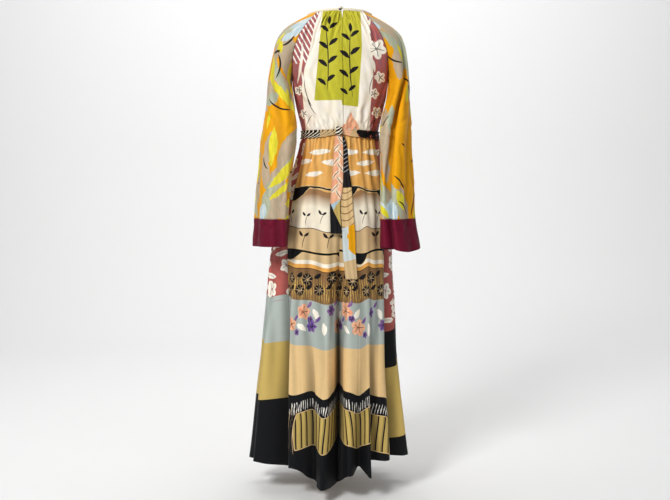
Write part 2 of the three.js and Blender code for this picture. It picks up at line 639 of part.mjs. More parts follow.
// The belt is drawn into two lengthwise pleats.
function belt() {
  const columns = 48;
  const rows = 4;
  const point = (c, r) => {
    const v = r / rows;
    const z = WAIST_Z + BELT.height * (0.5 - v);
    const lift = BELT.clear + BELT.wall + BELT.pleat * (0.5 + 0.5 * Math.cos(4 * Math.PI * v));
    return outFromAxis(waistPoint((2 * Math.PI * c) / columns, z), lift);
  };
  return wall(point, columns, rows, { joined: 0, thickness: BELT.wall });
}
add("belt", belt(), COLOURS.sash);

// The knot is a soft squarish lump with a crease slanting across it.
function knot() {
  const geometry = new THREE.SphereGeometry(1, 20, 14);
  const position = geometry.attributes.position;
  const middle = -(BODY.at(-1).back + BELT.clear + BELT.wall + BELT.pleat + 2.6 + KNOT.depth / 2);
  const full = (v) => Math.sign(v) * Math.abs(v) ** 0.72;
  for (let i = 0; i < position.count; i += 1) {
    const [x, y, z] = [position.getX(i), position.getZ(i), position.getY(i)];
    const crease = 1 - 0.13 * Math.exp(-(((z * 0.8 + x * 0.5) / 0.22) ** 2));
    position.setXYZ(
      i,
      KNOT.x + full(x) * (KNOT.width / 2) * crease,
      middle - full(y) * (KNOT.depth / 2) * crease,
      KNOT.z + full(z) * (KNOT.height / 2),
    );
  }
  return geometry;
}
add("belt_knot", knot(), COLOURS.hem);

// A tail hangs down the back of the skirt and cups a little across its width.
function tail(rows) {
  const across = 4;
  const levels = rows.map((row) => row.z);
  const point = (c, r) => {
    const z = at(levels, r);
    const v = (2 * c) / across - 1;
    const x = column(rows, "x", z) + (v * column(rows, "width", z)) / 2;
    const [left, right] = [column(SKIRT, "left", z), column(SKIRT, "right", z)];
    const p = waistPoint(Math.asin((2 * x) / (left + right)), z);
    p.x = x;
    p.y -= column(rows, "lift", z) + 0.4 * Math.cos(Math.PI * v);
    return p;
  };
  return wall(point, across, levels.length - 1, { thickness: TAIL_WALL });
}
add("belt_tail_left", tail(TAILS.left), COLOURS.sash);
add("belt_tail_right", tail(TAILS.right), COLOURS.sash);

export default group;
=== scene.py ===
"""A long-sleeved maxi dress in its worn form, as thin cloth.

Lengths are millimetres until a mesh is made. +Z up, +X the wearer's right, +Y the wearer's front. Each
cloth piece is a grid of points worked out from the same tables and curves as the solids, with finer
gathers, creases, seams and hems laid over it, and every grid carries its own cloth measure (across and
down, along the surface) for the weave, the stitching and the print.
"""
import math
from functools import cached_property

import bmesh
import bpy
import numpy as np
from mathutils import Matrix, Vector


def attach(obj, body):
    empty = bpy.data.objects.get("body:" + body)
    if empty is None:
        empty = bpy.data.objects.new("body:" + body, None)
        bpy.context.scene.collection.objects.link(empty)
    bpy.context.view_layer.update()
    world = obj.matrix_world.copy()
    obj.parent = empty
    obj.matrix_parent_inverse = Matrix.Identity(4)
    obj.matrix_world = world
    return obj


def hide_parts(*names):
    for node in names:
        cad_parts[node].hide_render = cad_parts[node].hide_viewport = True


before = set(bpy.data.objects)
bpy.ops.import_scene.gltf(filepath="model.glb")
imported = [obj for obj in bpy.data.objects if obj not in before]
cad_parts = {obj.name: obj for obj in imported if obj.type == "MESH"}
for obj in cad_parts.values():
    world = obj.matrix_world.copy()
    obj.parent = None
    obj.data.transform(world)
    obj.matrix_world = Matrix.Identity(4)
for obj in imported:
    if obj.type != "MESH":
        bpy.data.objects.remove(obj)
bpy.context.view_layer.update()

MM = 0.001
TAU = 2 * math.pi
SHELL = 0.9  # thickness of the cloth
SEAM = 0.3  # between pieces that are sewn together
SEWN = 0.04  # between skirt panels, whose seams lie at the bottom of deep folds
NECK_Z = -6.0
UNDERARM_Z = -215.0
WAIST_Z = -384.0
CUFF_Z = -644.0
CUFF_HEM = {-1: -728.0, 1: -735.0}
BACK_SEAM_X = 6.0
KEYHOLE_WIDTH, KEYHOLE_LENGTH = 7.0, 36.0
FRONT_DROP = 70.0
RAGLAN_BACK_Z, RAGLAN_FRONT_Z = -8.0, -30.0
RAGLAN_GAP = 0.5
BELT_HEIGHT, BELT_LIFT = 24.0, 3.6
SEAM_ROWS = (1.2, 2.8, 5)  # distances from a seam where a bodice piece has extra rows, for the seam's dip
TUBE_ROWS = (1.4, 3.2)  # the same on a sleeve or cuff
YOKE_ROWS = 40  # rows of a sleeve's grid above the underarm
SKIRT_LENGTH = 1050


def table(names, rows):
    """A table of named columns, as one array for each column."""
    return dict(zip(names.split(), np.array(rows, float).T))


# From the neckline to the underarm: half width at the raglan seams, start angle and depth of the sleeve caps,
# reach to the back, front, left and right, and how far forward the caps lie.
YOKE = table("z raglan start depth back front left right shift", [
    [0, 66, 150, 56, 56, 48, 74, 73, 0],
    [-26, 88, 133, 70, 70, 60, 127, 123, 0],
    [-51, 106, 115, 78, 80, 71, 168, 162, 0],
    [-77, 122, 98, 81, 89, 81, 191, 189, 0],
    [-102, 133, 84, 81, 96, 90, 202, 200, -1],
    [-128, 142, 68, 79, 101, 99, 208, 206, -3],
    [-154, 147, 50, 76, 104, 107, 213, 210, -5],
    [-185, 149, 26, 75, 106, 114, 219, 213, -8],
    [-215, 150, 0, 74, 107, 119, 224, 215, -12],
])
# From the underarm to the waist: half width, reach to the back and front, place of the side seams.
BODY = table("z side back front seam_y", [
    [-215, 150, 107, 119, -12],
    [-262, 145, 104, 121, -6],
    [-310, 135, 97, 110, -2],
    [-350, 125, 90, 96, 0],
    [-384, 118, 84, 86, 0],
])
# Below the underarm: inner and outer reach of both sleeves, half length, turn and place of their long axis.
SLEEVE = table("z left_in left_out right_in right_out long turn shift", [
    [-215, 150.4, 224, 150.4, 215, 74, 0, -12],
    [-275, 145, 232, 143, 220, 75, 14, -30],
    [-336, 135, 241, 127, 223, 76, 24, -52],
    [-384, 131, 248, 119, 224, 77, 29, -70],
    [-450, 137, 254, 119, 225, 77, 32, -84],
    [-537, 147, 261, 120, 228, 77, 34, -98],
    [-644, 154, 267, 119, 232, 77, 36, -109],
    [-740, 157, 272, 119, 247, 78, 38, -118],
])
# Folds down the sleeves, in degrees round from the inner side over the back.
SLEEVE_FOLDS = {
    -1: table("top cuff wide depth start", [
        [60, 62, 17, 9, -260], [140, 112, 20, 10, -90], [215, 205, 22, 9, -150], [290, 285, 22, 12, -260]]),
    1: table("top cuff wide depth start", [
        [138, 104, 15, 26, -70], [200, 178, 18, 9, -200], [300, 285, 24, 14, -240]]),
}
# Reaches of the skirt without its flutes.
SKIRT = table("z left right back front", [
    [-384, 118, 118, 84, 86],
    [-450, 135, 129, 98, 98],
    [-520, 158, 142, 113, 112],
    [-600, 184, 152, 128, 126],
    [-745, 218, 163, 146, 144],
    [-920, 237, 174, 162, 162],
    [-1075, 256, 181, 174, 176],
    [-1229, 272, 196, 184, 190],
    [-1430, 290, 214, 194, 204],
])
# Valleys round the skirt: degrees at the waist and hem, depth, narrowness, height where one starts, swell of
# the crest after it, and the hem's height in the valley and on that crest.
FLUTES = table("waist hem depth narrow start swell valley crest", [
    [0, -3, 104, 7, -560, 4, -1464, -1416],
    [22, 16, 34, 4, -1050, 12, -1396, -1424],
    [38, 27.5, 36, 4, -820, -2, -1382, -1384],
    [64, 58, 48, 5, -520, 15, -1384, -1388],
    [90, 88, 30, 3.4, -700, 15, -1396, -1404],
    [116, 114, 46, 4, -620, 4, -1406, -1412],
    [142, 140, 40, 3.2, -700, 8, -1410, -1418],
    [168, 166, 52, 4.4, -640, 10, -1412, -1424],
    [194, 193, 38, 3.2, -780, 6, -1414, -1420],
    [220, 219, 48, 4, -660, 4, -1412, -1420],
    [245, 246, 44, 4, -620, 12, -1414, -1420],
    [272, 277, 26, 3, -800, 17, -1416, -1402],
    [300, 313, 62, 5, -520, 0, -1412, -1402],
    [331, 339, 36, 4, -1000, 16, -1440, -1456],
])


# ---------------------------------------------------------------- curves and sections

def ease(v):
    """0 to 1 with level ends: 3v^2 - 2v^3."""
    v = np.clip(v, 0, 1)
    return v * v * (3 - 2 * v)


def mix(a, b, f):
    """From a to b at a share f of the way: a + (b - a) f."""
    return a + (b - a) * f


def column(tab, name, z):
    """A smooth curve through one column, read by height: a cubic whose slope at each row is that of its two
    neighbours."""
    zs, v = tab["z"], tab[name]
    last = len(zs) - 1
    k = np.arange(last + 1)
    lo, hi = np.maximum(k - 1, 0), np.minimum(k + 1, last)
    slope = (v[hi] - v[lo]) / (zs[hi] - zs[lo])
    z = np.asarray(z, float)
    i = np.clip(np.searchsorted(-zs[1:], -z, side="left"), 0, last - 1)
    span = zs[i + 1] - zs[i]
    f = (z - zs[i]) / span
    bend = f * (1 - f) * span * ((1 - f) * slope[i] - f * slope[i + 1])
    return mix(v[i], v[i + 1], f * f * (3 - 2 * f)) + bend


def gathered(amount, fade, distance, rise=9.0):
    """Height of a gather at a distance from the line it is drawn up on: none on it, then a quick rise and a
    slow fade."""
    d = np.maximum(distance, 0)
    return amount * (1 - np.exp(-d / rise)) * np.exp(-d / fade)


def out_from_axis(p, amount):
    """Moves points level and away from the upright axis."""
    reach = np.hypot(p[..., 0], p[..., 1])
    p[..., 0] += p[..., 0] / reach * amount
    p[..., 1] += p[..., 1] / reach * amount
    return p


def body_edge(z, face):
    """x and y of the raglan seam above the underarm, of the side seam below it."""
    low = z < UNDERARM_Z
    zy, zb = np.maximum(z, UNDERARM_Z), np.minimum(z, UNDERARM_Z)
    spread = np.sin(np.radians(column(YOKE, "start", zy))) * column(YOKE, "depth", zy)
    x = np.where(low, column(BODY, "side", zb), column(YOKE, "raglan", zy))
    y = np.where(low, column(BODY, "seam_y", zb), column(YOKE, "shift", zy) - face * spread)
    return x, y


def body_point(face, u, z):
    """The back (face 1) or front (face -1) at u from -1 to 1 across. x is edge * u, turning to
    edge * sin(pi u / 2) at the underarm; the depth goes from the edge to the middle by 1 - u^2, turning to
    cos(pi u / 2)."""
    u, z = np.broadcast_arrays(np.asarray(u, float), np.asarray(z, float))
    low = z < UNDERARM_Z
    zy, zb = np.maximum(z, UNDERARM_Z), np.minimum(z, UNDERARM_Z)
    ex, ey = body_edge(z, face)
    round_off = np.where(low, 1, ease((YOKE["z"][4] - z) / (YOKE["z"][4] - UNDERARM_Z)))
    across = mix(u, np.sin(u * math.pi / 2), round_off)
    crown = mix(1 - u * u, np.cos(u * math.pi / 2), round_off)
    name = "back" if face > 0 else "front"
    middle = -face * np.where(low, column(BODY, name, zb), column(YOKE, name, zy))
    return np.stack([ex * across, mix(ey, middle, crown), z], -1)


def sleeve_point(hand, angle, z):
    """The level section of a sleeve: an ellipse whose long axis turns towards the body at the back as it
    goes down, pressed in along the folds by depth * exp(-(angle from the fold / width)^2). angle runs from
    the inner side over the back."""
    angle, z = np.broadcast_arrays(np.asarray(angle, float), np.asarray(z, float))
    side = "right" if hand > 0 else "left"
    up = z >= UNDERARM_Z
    zy, zs = np.maximum(z, UNDERARM_Z), np.minimum(z, UNDERARM_Z)
    outer = np.where(up, column(YOKE, side, zy), column(SLEEVE, side + "_out", zs))
    inner = column(SLEEVE, side + "_in", zs)
    cap = (outer - column(YOKE, "raglan", zy)) / (1 + np.cos(np.radians(column(YOKE, "start", zy))))
    turn = np.where(up, 0, np.radians(column(SLEEVE, "turn", zs)))
    long = np.where(up, column(YOKE, "depth", zy), column(SLEEVE, "long", zs))
    half = (outer - inner) / 2
    thin = np.sqrt(np.maximum(half ** 2 - (long * np.sin(turn)) ** 2, 1)) / np.cos(turn)
    short = np.where(up, cap, thin)
    cx = np.where(up, outer - cap, (inner + outer) / 2)
    cy = np.where(up, column(YOKE, "shift", zy), column(SLEEVE, "shift", zs))
    along, back = -short * np.cos(angle), long * np.sin(angle)
    dx = along * np.cos(turn) - back * np.sin(turn)
    dy = -along * np.sin(turn) - back * np.cos(turn)
    down = np.clip((YOKE["z"][2] - z) / (YOKE["z"][2] - CUFF_Z), 0, 1)
    fold = np.zeros(z.shape)
    folds = SLEEVE_FOLDS[hand]
    for top, cuff, wide, depth, start in zip(*(folds[k] for k in ("top", "cuff", "wide", "depth", "start"))):
        off = (np.degrees(angle) - mix(top, cuff, down)) / wide
        fold -= depth * ease((start - z) / 240) * np.exp(-off * off)
    reach = np.hypot(dx, dy)
    return np.stack([hand * (cx + dx * (1 + fold / reach) + RAGLAN_GAP), cy + dy * (1 + fold / reach), z], -1)


def sleeve_angle(share, z):
    """Angle at a share of the way round; above the underarm the sleeve is open between its raglan seams."""
    start = np.where(z >= UNDERARM_Z, np.radians(column(YOKE, "start", np.maximum(z, UNDERARM_Z))), 0)
    return mix(start, TAU - start, share)


def flute(k):
    """Rows of FLUTES for whole numbers k of any size, with their angles carried on round."""
    turns = np.floor_divide(k, len(FLUTES["hem"]))
    i = k - turns * len(FLUTES["hem"])
    row = {name: v[i] for name, v in FLUTES.items()}
    row["waist"] = row["waist"] + 360 * turns
    row["hem"] = row["hem"] + 360 * turns
    return row


def section_point(angle, z):
    """A level section through four reaches: x = (right + left) / 2 sin + (right - left) / 2 sin^2, and the
    same front and back with the cosine."""
    left, right, back, front = (column(SKIRT, k, z) for k in ("left", "right", "back", "front"))
    s, c = np.sin(angle), np.cos(angle)
    x = (right + left) / 2 * s + (right - left) / 2 * s * s
    y = -(back + front) / 2 * c - (back - front) / 2 * c * c
    return np.stack([x, y, z + 0 * angle], -1)


def skirt_z(phase, share):
    """Height at a share of the way down: the hem's height runs from valley to crest as half a cosine."""
    k = np.floor(phase).astype(int)
    f = phase - k
    a, b = flute(k), flute(k + 1)
    crest = 0.5 - 0.5 * np.cos(TAU * f)
    hem = mix(mix(a["valley"], b["valley"], ease(f)), a["crest"], crest)
    return mix(WAIST_Z - SEAM / 2, hem, share)


def skirt_point(phase, z):
    """phase counts valleys round the skirt. A valley draws the section in by
    depth * cos(pi f / 2)^(2 narrow), more and more towards the hem, and the crest between two valleys swells
    out by sin^2."""
    k = np.floor(phase).astype(int)
    f = phase - k
    a, b = flute(k), flute(k + 1)
    bottom = SKIRT["z"][-1]
    down = np.clip((WAIST_Z - z) / (WAIST_Z - bottom), 0, 1)
    angle = np.radians(mix(mix(a["waist"], b["waist"], f), mix(a["hem"], b["hem"], f), down))
    p = section_point(angle, z)

    def valley(row, g):
        """How far a valley draws the section in, at a share g of the way to the next one."""
        opened = np.clip((row["start"] - z) / (row["start"] - bottom), 0, 1)
        return row["depth"] * ease(opened) ** 0.8 * np.abs(np.cos(math.pi * g / 2)) ** (2 * row["narrow"])

    swell = a["swell"] * down * down * np.sin(math.pi * f) ** 2
    return out_from_axis(p, swell - valley(a, f) - valley(b, 1 - f))


def waist_point(angle, z):
    """Smooth section of the waist: of the bodice above it and of the skirt below."""
    zb = np.maximum(z, WAIST_Z)
    side, back, front = (column(BODY, k, zb) for k in ("side", "back", "front"))
    s, c = np.sin(angle), np.cos(angle)
    above = np.stack([side * s, -np.where(c > 0, back, front) * c, z + 0 * angle], -1)
    return np.where((z < WAIST_Z)[..., None], section_point(angle, np.minimum(z, WAIST_Z)), above)


# ---------------------------------------------------------------- cloth grids

def normals(p):
    """Outward unit normals of a grid whose columns go counter-clockwise seen from above and whose rows go
    down."""
    across = np.gradient(p, axis=1)
    down = np.gradient(p, axis=0)
    n = np.cross(down, across)
    return n / np.maximum(np.linalg.norm(n, axis=-1, keepdims=True), 1e-9)


def measure(p):
    """The cloth's own measure: lengths along the surface, across from the middle column and down from the
    top."""
    step = np.linalg.norm(np.diff(p, axis=1), axis=-1)
    s = np.concatenate([np.zeros((len(p), 1)), np.cumsum(step, 1)], 1)
    s -= s[:, s.shape[1] // 2][:, None]
    fall = np.linalg.norm(np.diff(p, axis=0), axis=-1)
    t = np.concatenate([np.zeros((1, p.shape[1])), np.cumsum(fall, 0)], 0)
    return s, t


def smoothed(v, half, kind):
    """A grid averaged across its rows over half columns to each side, and carried on past its edges."""
    window = np.hanning(2 * half + 3)[1:-1]
    edges = ((0, 0), (half, half)) + ((0, 0),) * (v.ndim - 2)
    wider = np.pad(v, edges, mode="reflect", reflect_type=kind)
    return sum(w * wider[:, i:i + v.shape[1]] for i, w in enumerate(window / window.sum()))


def bends(p, half=5, deepest=1.6):
    """Where a small fold stands out of the cloth beside it: -1 deep in troughs to 1 on ridges. It sets the
    painted light and painted shade over small folds.
    """
    return np.tanh(((p - smoothed(p, half, "odd")) * normals(p)).sum(-1) / deepest)


def sunk(p, half=13, deepest=15.0):
    """How far a point lies behind the cloth beside it: 0 out on the folds to 1 deep between them. It sets the
    painted shade between the skirt's folds.
    """
    out = np.hypot(p[..., 0], p[..., 1])
    return np.clip((smoothed(out, half, "even") - out) / deepest, 0, 1)


def evenly(n, near=(), length=1.0):
    """n + 1 places from 0 to 1, and more at the given distances from both ends of a run of that length."""
    extra = [d / length for d in near] + [1 - d / length for d in near]
    return np.unique(np.concatenate([np.linspace(0, 1, n + 1), extra]))


def press_seams(p, left=0.0, right=0.0, top=0.0, bottom=0.0, reach=2.6, to_axis=False):
    """Draws the cloth in along its seams, by depth * exp(-(distance / reach)^2), along the normals or,
    where a seam lies deep between folds, towards the axis, so that both its edges still meet."""
    s, t = measure(p)
    dip = np.zeros(s.shape)
    for depth, d in ((left, s - s[:, :1]), (right, s[:, -1:] - s), (top, t), (bottom, t[-1:] - t)):
        if depth:
            dip -= depth * np.exp(-(d / reach) ** 2)
    return out_from_axis(p, dip) if to_axis else p + normals(p) * dip[..., None]


def creases(p, rows, sides=9.0, top=6.0, bottom=0.0):
    """Lays soft troughs with a ridge beside each over a grid. A row is across, down (start), across, down
    (end), half width w and depth, in millimetres of cloth. At a distance d from the line the height is
    -depth exp(-(d / w)^2) + depth / 2 exp(-((d - 1.9 w) / w)^2), fading towards the line's ends. The line
    bends by a slow wave. Creases die out over the given lengths towards the seams, so that pieces still
    meet."""
    s, t = measure(p)
    lift = np.zeros(s.shape)
    clear = np.ones(s.shape)
    for length, d in ((sides, s - s[:, :1]), (sides, s[:, -1:] - s), (top, t), (bottom, t[-1:] - t)):
        if length:
            clear *= 1 - np.exp(-(d / length) ** 2)
    for i, (s0, t0, s1, t1, wide, depth) in enumerate(rows):
        ax, ay = s1 - s0, t1 - t0
        size = math.hypot(ax, ay)
        f = ((s - s0) * ax + (t - t0) * ay) / size ** 2
        d = ((s - s0) * ay - (t - t0) * ax) / size
        d = d + wide * 0.7 * np.sin(f * 5.1 + i * 1.7) + wide * 0.25 * np.sin(f * 13 + i)
        wide_here = wide * (0.7 + 0.6 * np.clip(f, 0, 1))
        fade = ease(f / 0.3 + 0.2) * ease((1 - f) / 0.35 + 0.2)
        lift += fade * depth * (0.5 * np.exp(-((d - 1.9 * wide_here) / wide_here) ** 2)
                                - np.exp(-(d / wide_here) ** 2))
    return p + normals(p) * (lift * clear)[..., None]


def placed(name, data):
    """A new object in the scene."""
    ob = bpy.data.objects.new(name, data)
    bpy.context.scene.collection.objects.link(ob)
    return ob


def cloth_mesh(name, p, closed, capped, values):
    """The mesh of a grid, with its measure as a UV map and the given numbers on its points. closed joins
    the last column to the first, in every row (True) or from a row on (its number). capped closes the open
    ends."""
    s, t = measure(p)
    rows, cols = p.shape[:2]
    index = np.arange(rows * cols).reshape(rows, cols)
    quads = np.stack([index[:-1, :-1], index[1:, :-1], index[1:, 1:], index[:-1, 1:]], -1).reshape(-1, 4)
    points = index.copy()
    if closed:
        joined = 0 if closed is True else closed
        points[joined:, -1] = index[joined:, 0]
    corners = points.ravel()[quads]
    mesh = bpy.data.meshes.new(name)
    mesh.vertices.add(rows * cols)
    mesh.vertices.foreach_set("co", (p * MM).astype(np.float32).ravel())
    mesh.loops.add(corners.size)
    mesh.loops.foreach_set("vertex_index", corners.astype(np.int32).ravel())
    mesh.polygons.add(len(corners))
    mesh.polygons.foreach_set("loop_start", np.arange(0, corners.size, 4, dtype=np.int32))
    mesh.update(calc_edges=True)
    layer = mesh.uv_layers.new(name="cloth")
    uv = np.stack([s.ravel(), -t.ravel()], -1)[quads.ravel()] * MM
    layer.uv.foreach_set("vector", uv.astype(np.float32).ravel())
    for key, value in values.items():
        made = mesh.attributes.new(key, "FLOAT", "POINT")
        made.data.foreach_set("value", np.broadcast_to(value, s.shape).astype(np.float32).ravel())
    if closed:
        bm = bmesh.new()
        bm.from_mesh(mesh)
        bmesh.ops.delete(bm, geom=[v for v in bm.verts if not v.link_faces], context="VERTS")
        if capped:
            bmesh.ops.holes_fill(bm, edges=bm.edges, sides=0)
        bm.to_mesh(mesh)
        bm.free()
    mesh.validate()
    mesh.polygons.foreach_set("use_smooth", np.full(len(mesh.polygons), True))
    return mesh


def cloth(name, p, node, material, held=None, closed=False, values=None,
          wall=SHELL, inside=None, capped=False):
    """Makes a grid of points a thin cloth piece, with a wall on its inner side. A piece that is held also
    gets the numbers for its stitching and its folds: the distances to its lower edge and side seams, and its
    bends, which set painted light and shade over its small folds."""
    values = dict(values or {})
    if held:
        s, t = measure(p)
        values.update(hem=t[-1:] - t, bend=bends(p), seam=np.minimum(s - s[:, :1], s[:, -1:] - s))
    ob = placed(name, cloth_mesh(name, p, closed, capped, values))
    ob.data.materials.append(material)
    if wall:
        ob.data.materials.append(inside or material)
        shell = ob.modifiers.new("wall", "SOLIDIFY")
        shell.thickness = wall * MM
        shell.offset = -1
        shell.use_even_offset = False
        shell.material_offset = 1
    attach(ob, "root")
    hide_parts(node)


# ---------------------------------------------------------------- the dress as grids

def bodice_gathers(p, u, neck_z, neck, waist):
    """Adds gathers below the neckline and above the belt, each given as height, fade and wave, and soft
    upright folds, a slow cosine that is strongest half way down. All of them die out towards the side
    seams."""
    from_neck, from_belt = neck_z - p[..., 2], p[..., 2] - WAIST_Z - BELT_HEIGHT / 2
    (neck_high, neck_fade, neck_wave), (waist_high, waist_fade, waist_wave) = neck, waist
    small = gathered(neck_high, neck_fade, from_neck) * neck_wave
    small = small + gathered(waist_high, waist_fade, from_belt) * waist_wave
    half_way = np.sin(math.pi * np.clip(from_neck / (neck_z - WAIST_Z), 0, 1)) ** 2
    soft = 3.2 * half_way * np.cos(TAU * (2.3 * u + 0.15))
    still = (1 - np.abs(u) ** 6) ** 2
    return out_from_axis(p, (small + soft) * still)


def back_half(side, columns=76, rows=96):
    """One half of the back bodice, open at the keyhole. Its gathers are a cosine across it whose pleats
    differ in width, height and length."""
    c, r = np.meshgrid(evenly(columns, SEAM_ROWS, length=120), evenly(rows, SEAM_ROWS, length=376))
    t = c if side > 0 else 1 - c
    neck_z = mix(NECK_Z, RAGLAN_BACK_Z, t * t)
    z = mix(neck_z, WAIST_Z + SEAM / 2, r)
    opened = np.clip(1 + (z - NECK_Z) / KEYHOLE_LENGTH, 0, 1)
    gap = mix(SEAM, KEYHOLE_WIDTH, opened) / 2
    start = (BACK_SEAM_X + side * gap) / body_edge(z, 1)[0]
    u = mix(start, side, t)
    own = 1.3 if side > 0 else 0.4
    wave = np.cos(TAU * (6.4 * t + 0.22 * np.sin(TAU * 1.4 * t + own)) + 0.5)
    tall = 0.72 + 0.34 * np.sin(TAU * 2.3 * t + 2 * own)
    longer = 30 + 34 * np.sin(TAU * 1.9 * t + 3 * own) ** 2
    waist_wave = np.cos(TAU * (5.2 * t + 0.25 * np.sin(TAU * 1.1 * t + 2 * own)))
    return bodice_gathers(body_point(1, u, z), u, neck_z, (3.5 * tall, longer, wave), (3, 42, waist_wave))


def front_piece(columns=120, rows=88):
    """The front bodice, from the right seam round to the left one."""
    c, r = np.meshgrid(evenly(columns, SEAM_ROWS, length=260), evenly(rows, SEAM_ROWS, length=340))
    u = 1 - 2 * c
    neck_z = RAGLAN_FRONT_Z - (FRONT_DROP + RAGLAN_FRONT_Z) * (1 - u * u)
    z = mix(neck_z, WAIST_Z + SEAM / 2, r)
    wave = np.cos(TAU * (4 * u + 0.12 * np.sin(TAU * 1.3 * u)))
    tall = 0.8 + 0.3 * np.sin(TAU * 1.7 * u + 1)
    p = bodice_gathers(body_point(-1, u, z), u, neck_z, (3.4 * tall, 36, wave), (3, 40, wave))
    p[..., 1] += SEAM * ease((UNDERARM_Z + 30 - z) / 30)
    return p


def gathers(edges, t_from, reach, seed, wide=(3, 7), depth=(0.8, 2.0), step=15.0):
    """Rows for creases(): short ones side by side from a gathered edge, uneven in place, length and depth."""
    rng = np.random.default_rng(seed)
    rows = []
    for x in np.arange(edges[0], edges[1], step):
        at = x + rng.uniform(-0.35, 0.35) * step
        end = at + rng.uniform(-6, 6), t_from + reach * rng.uniform(0.35, 1)
        rows.append((at, t_from, *end, rng.uniform(*wide), rng.uniform(*depth)))
    return rows


# Creases listed as rows for creases(). Across is counted towards the side seam on the bodice, and from the
# outer line towards the back on a sleeve.
BODICE_CREASES = [(88, 196, 6, 338, 9, 2.6), (94, 236, 34, 374, 7, 2.2), (96, 282, 60, 380, 6, 1.8),
                  (46, 96, 40, 330, 12, 1.8), (-20, 150, -34, 372, 11, 2.0), (-66, 210, -60, 380, 8, 1.6),
                  (70, 40, 84, 190, 8, 1.4)]
SLEEVE_CREASES = [(186, 226, 104, 330, 9, 3.0), (192, 262, 126, 408, 8, 2.6), (188, 318, 150, 470, 7, 2.2),
                  (120, 250, 96, 630, 13, 3.2), (60, 190, 72, 610, 14, 3.0), (148, 400, 120, 650, 9, 2.4),
                  (18, 110, 28, 430, 12, 2.4), (152, 396, 74, 436, 8, 2.2), (136, 432, 52, 478, 7, 1.8),
                  (10, 380, 62, 420, 8, 2.0), (96, 8, 122, 150, 10, 1.8), (56, 16, 36, 160, 10, 1.8),
                  (32, 470, 40, 640, 9, 2.4), (88, 520, 84, 655, 7, 2.0)]
DEEP_CREASES = [(44, 90, 64, 330, 7, 7.0), (62, 250, 92, 660, 8, 9.0)]  # on the right sleeve
FRONT_CREASES = [(-150, 150, -60, 330, 10, 2.4), (150, 150, 60, 330, 10, 2.4), (-96, 60, -70, 300, 13, 2.0),
                 (92, 60, 76, 300, 13, 2.0), (-20, 120, -26, 310, 12, 1.6), (34, 100, 30, 320, 11, 1.6)]
PRESSED = [(0.44, 380, 980), (-0.3, 520, 900), (0.08, 640, 1010)]  # from storage: share across, start, end


def bodice_creases(p, side):
    """Drags from the underarm, soft upright folds, and gathers at the neck and at the waist."""
    rows = [(side * a, b, side * c, d, wide, deep) for a, b, c, d, wide, deep in BODICE_CREASES]
    rows += gathers((-92, 92), -30, 200, 31 + side, (3.0, 4.6), (4.4, 7.0), 15)
    rows += gathers((-92, 92), -16, 110, 91 + side, (1.8, 2.8), (1.6, 2.6), 9)
    rows += gathers((-96, 96), 386, -84, 41 + side, (3.4, 6.4), (2.0, 3.8), 17)
    return creases(p, rows, top=3, bottom=4)


def front_creases(p):
    """Drags from both underarms, soft upright folds, and gathers at the neck and at the waist."""
    rows = FRONT_CREASES + gathers((-100, 100), 4, 80, 51, (2.4, 5), (0.9, 1.9), 13)
    return creases(p, rows + gathers((-170, 170), 330, -70, 52, (3, 6), (0.9, 1.9), 15), bottom=5)


def sleeve_creases(p, hand):
    """The same creases at the back and, a little lower, at the front; small gathers above the cuff."""
    rows = [(-hand * a, b, -hand * c, d, wide, deep) for a, b, c, d, wide, deep in SLEEVE_CREASES]
    rows += [(hand * a, b + 30, hand * c, d + 10, wide, deep)
             for a, b, c, d, wide, deep in SLEEVE_CREASES[:-1]]
    if hand > 0:
        rows += [(-a, b, -c, d, wide, deep) for a, b, c, d, wide, deep in DEEP_CREASES]
    return creases(p, rows + gathers((-190, 190), 654, -90, 61 + hand, (4, 8), (0.8, 1.8), 21), bottom=4)


def skirt_creases(p, seed):
    """Gathers from the belt, longer ones among them, and long soft folds that widen towards the hem."""
    s = measure(p)[0]
    top, low = np.ptp(s[0]) / 2, np.ptp(s[-40]) / 2  # half the width at the belt and low down

    def upright(f, start, end, wide, depth):
        """A line that keeps its share of the panel's width as the panel widens."""
        return f * mix(top, low, start / 1000), start, f * mix(top, low, end / 1000), end, wide, depth

    rng = np.random.default_rng(seed)
    rows = gathers((-top, top), -8, 130, seed, (3, 5.4), (1.8, 3.4), 14)
    rows += [(x, y, x * 1.25, y2, wide, deep) for x, y, _, y2, wide, deep
             in gathers((-top, top), 10, 360, seed + 7, (5, 9), (2.0, 3.6), 31)]
    for f in np.arange(-0.8, 0.85, 56 / max(low, 60)):
        f += rng.uniform(-0.06, 0.06)
        start, end = rng.uniform(60, 420), rng.uniform(780, 1040)
        rows.append(upright(f, start, end, rng.uniform(10, 19), rng.uniform(2.4, 4.8)))
    rows += [upright(f, start, end, 2.4, 0.9) for f, start, end in PRESSED]
    return creases(p, rows)


def sleeve_tube(hand, columns=118, low_rows=100):
    """A sleeve: an open cap between the raglan seams, then a tube whose first and last columns are one."""
    c = evenly(columns, TUBE_ROWS, length=430)
    up = evenly(YOKE_ROWS - 2, near=(1.4,), length=200)
    down = np.linspace(0, 1, low_rows + 1)[1:]
    share = c if hand > 0 else 1 - c
    neck_z = mix(RAGLAN_BACK_Z, RAGLAN_FRONT_Z, share ** 2.6)
    z_up = mix(neck_z[None], UNDERARM_Z, up[:, None])
    z_low = np.broadcast_to(mix(UNDERARM_Z, CUFF_Z, down)[:, None], (low_rows, len(c)))
    z = np.concatenate([z_up, z_low])
    share = np.broadcast_to(share[None], z.shape)
    return sleeve_point(hand, sleeve_angle(share, z), z), len(up) - 1


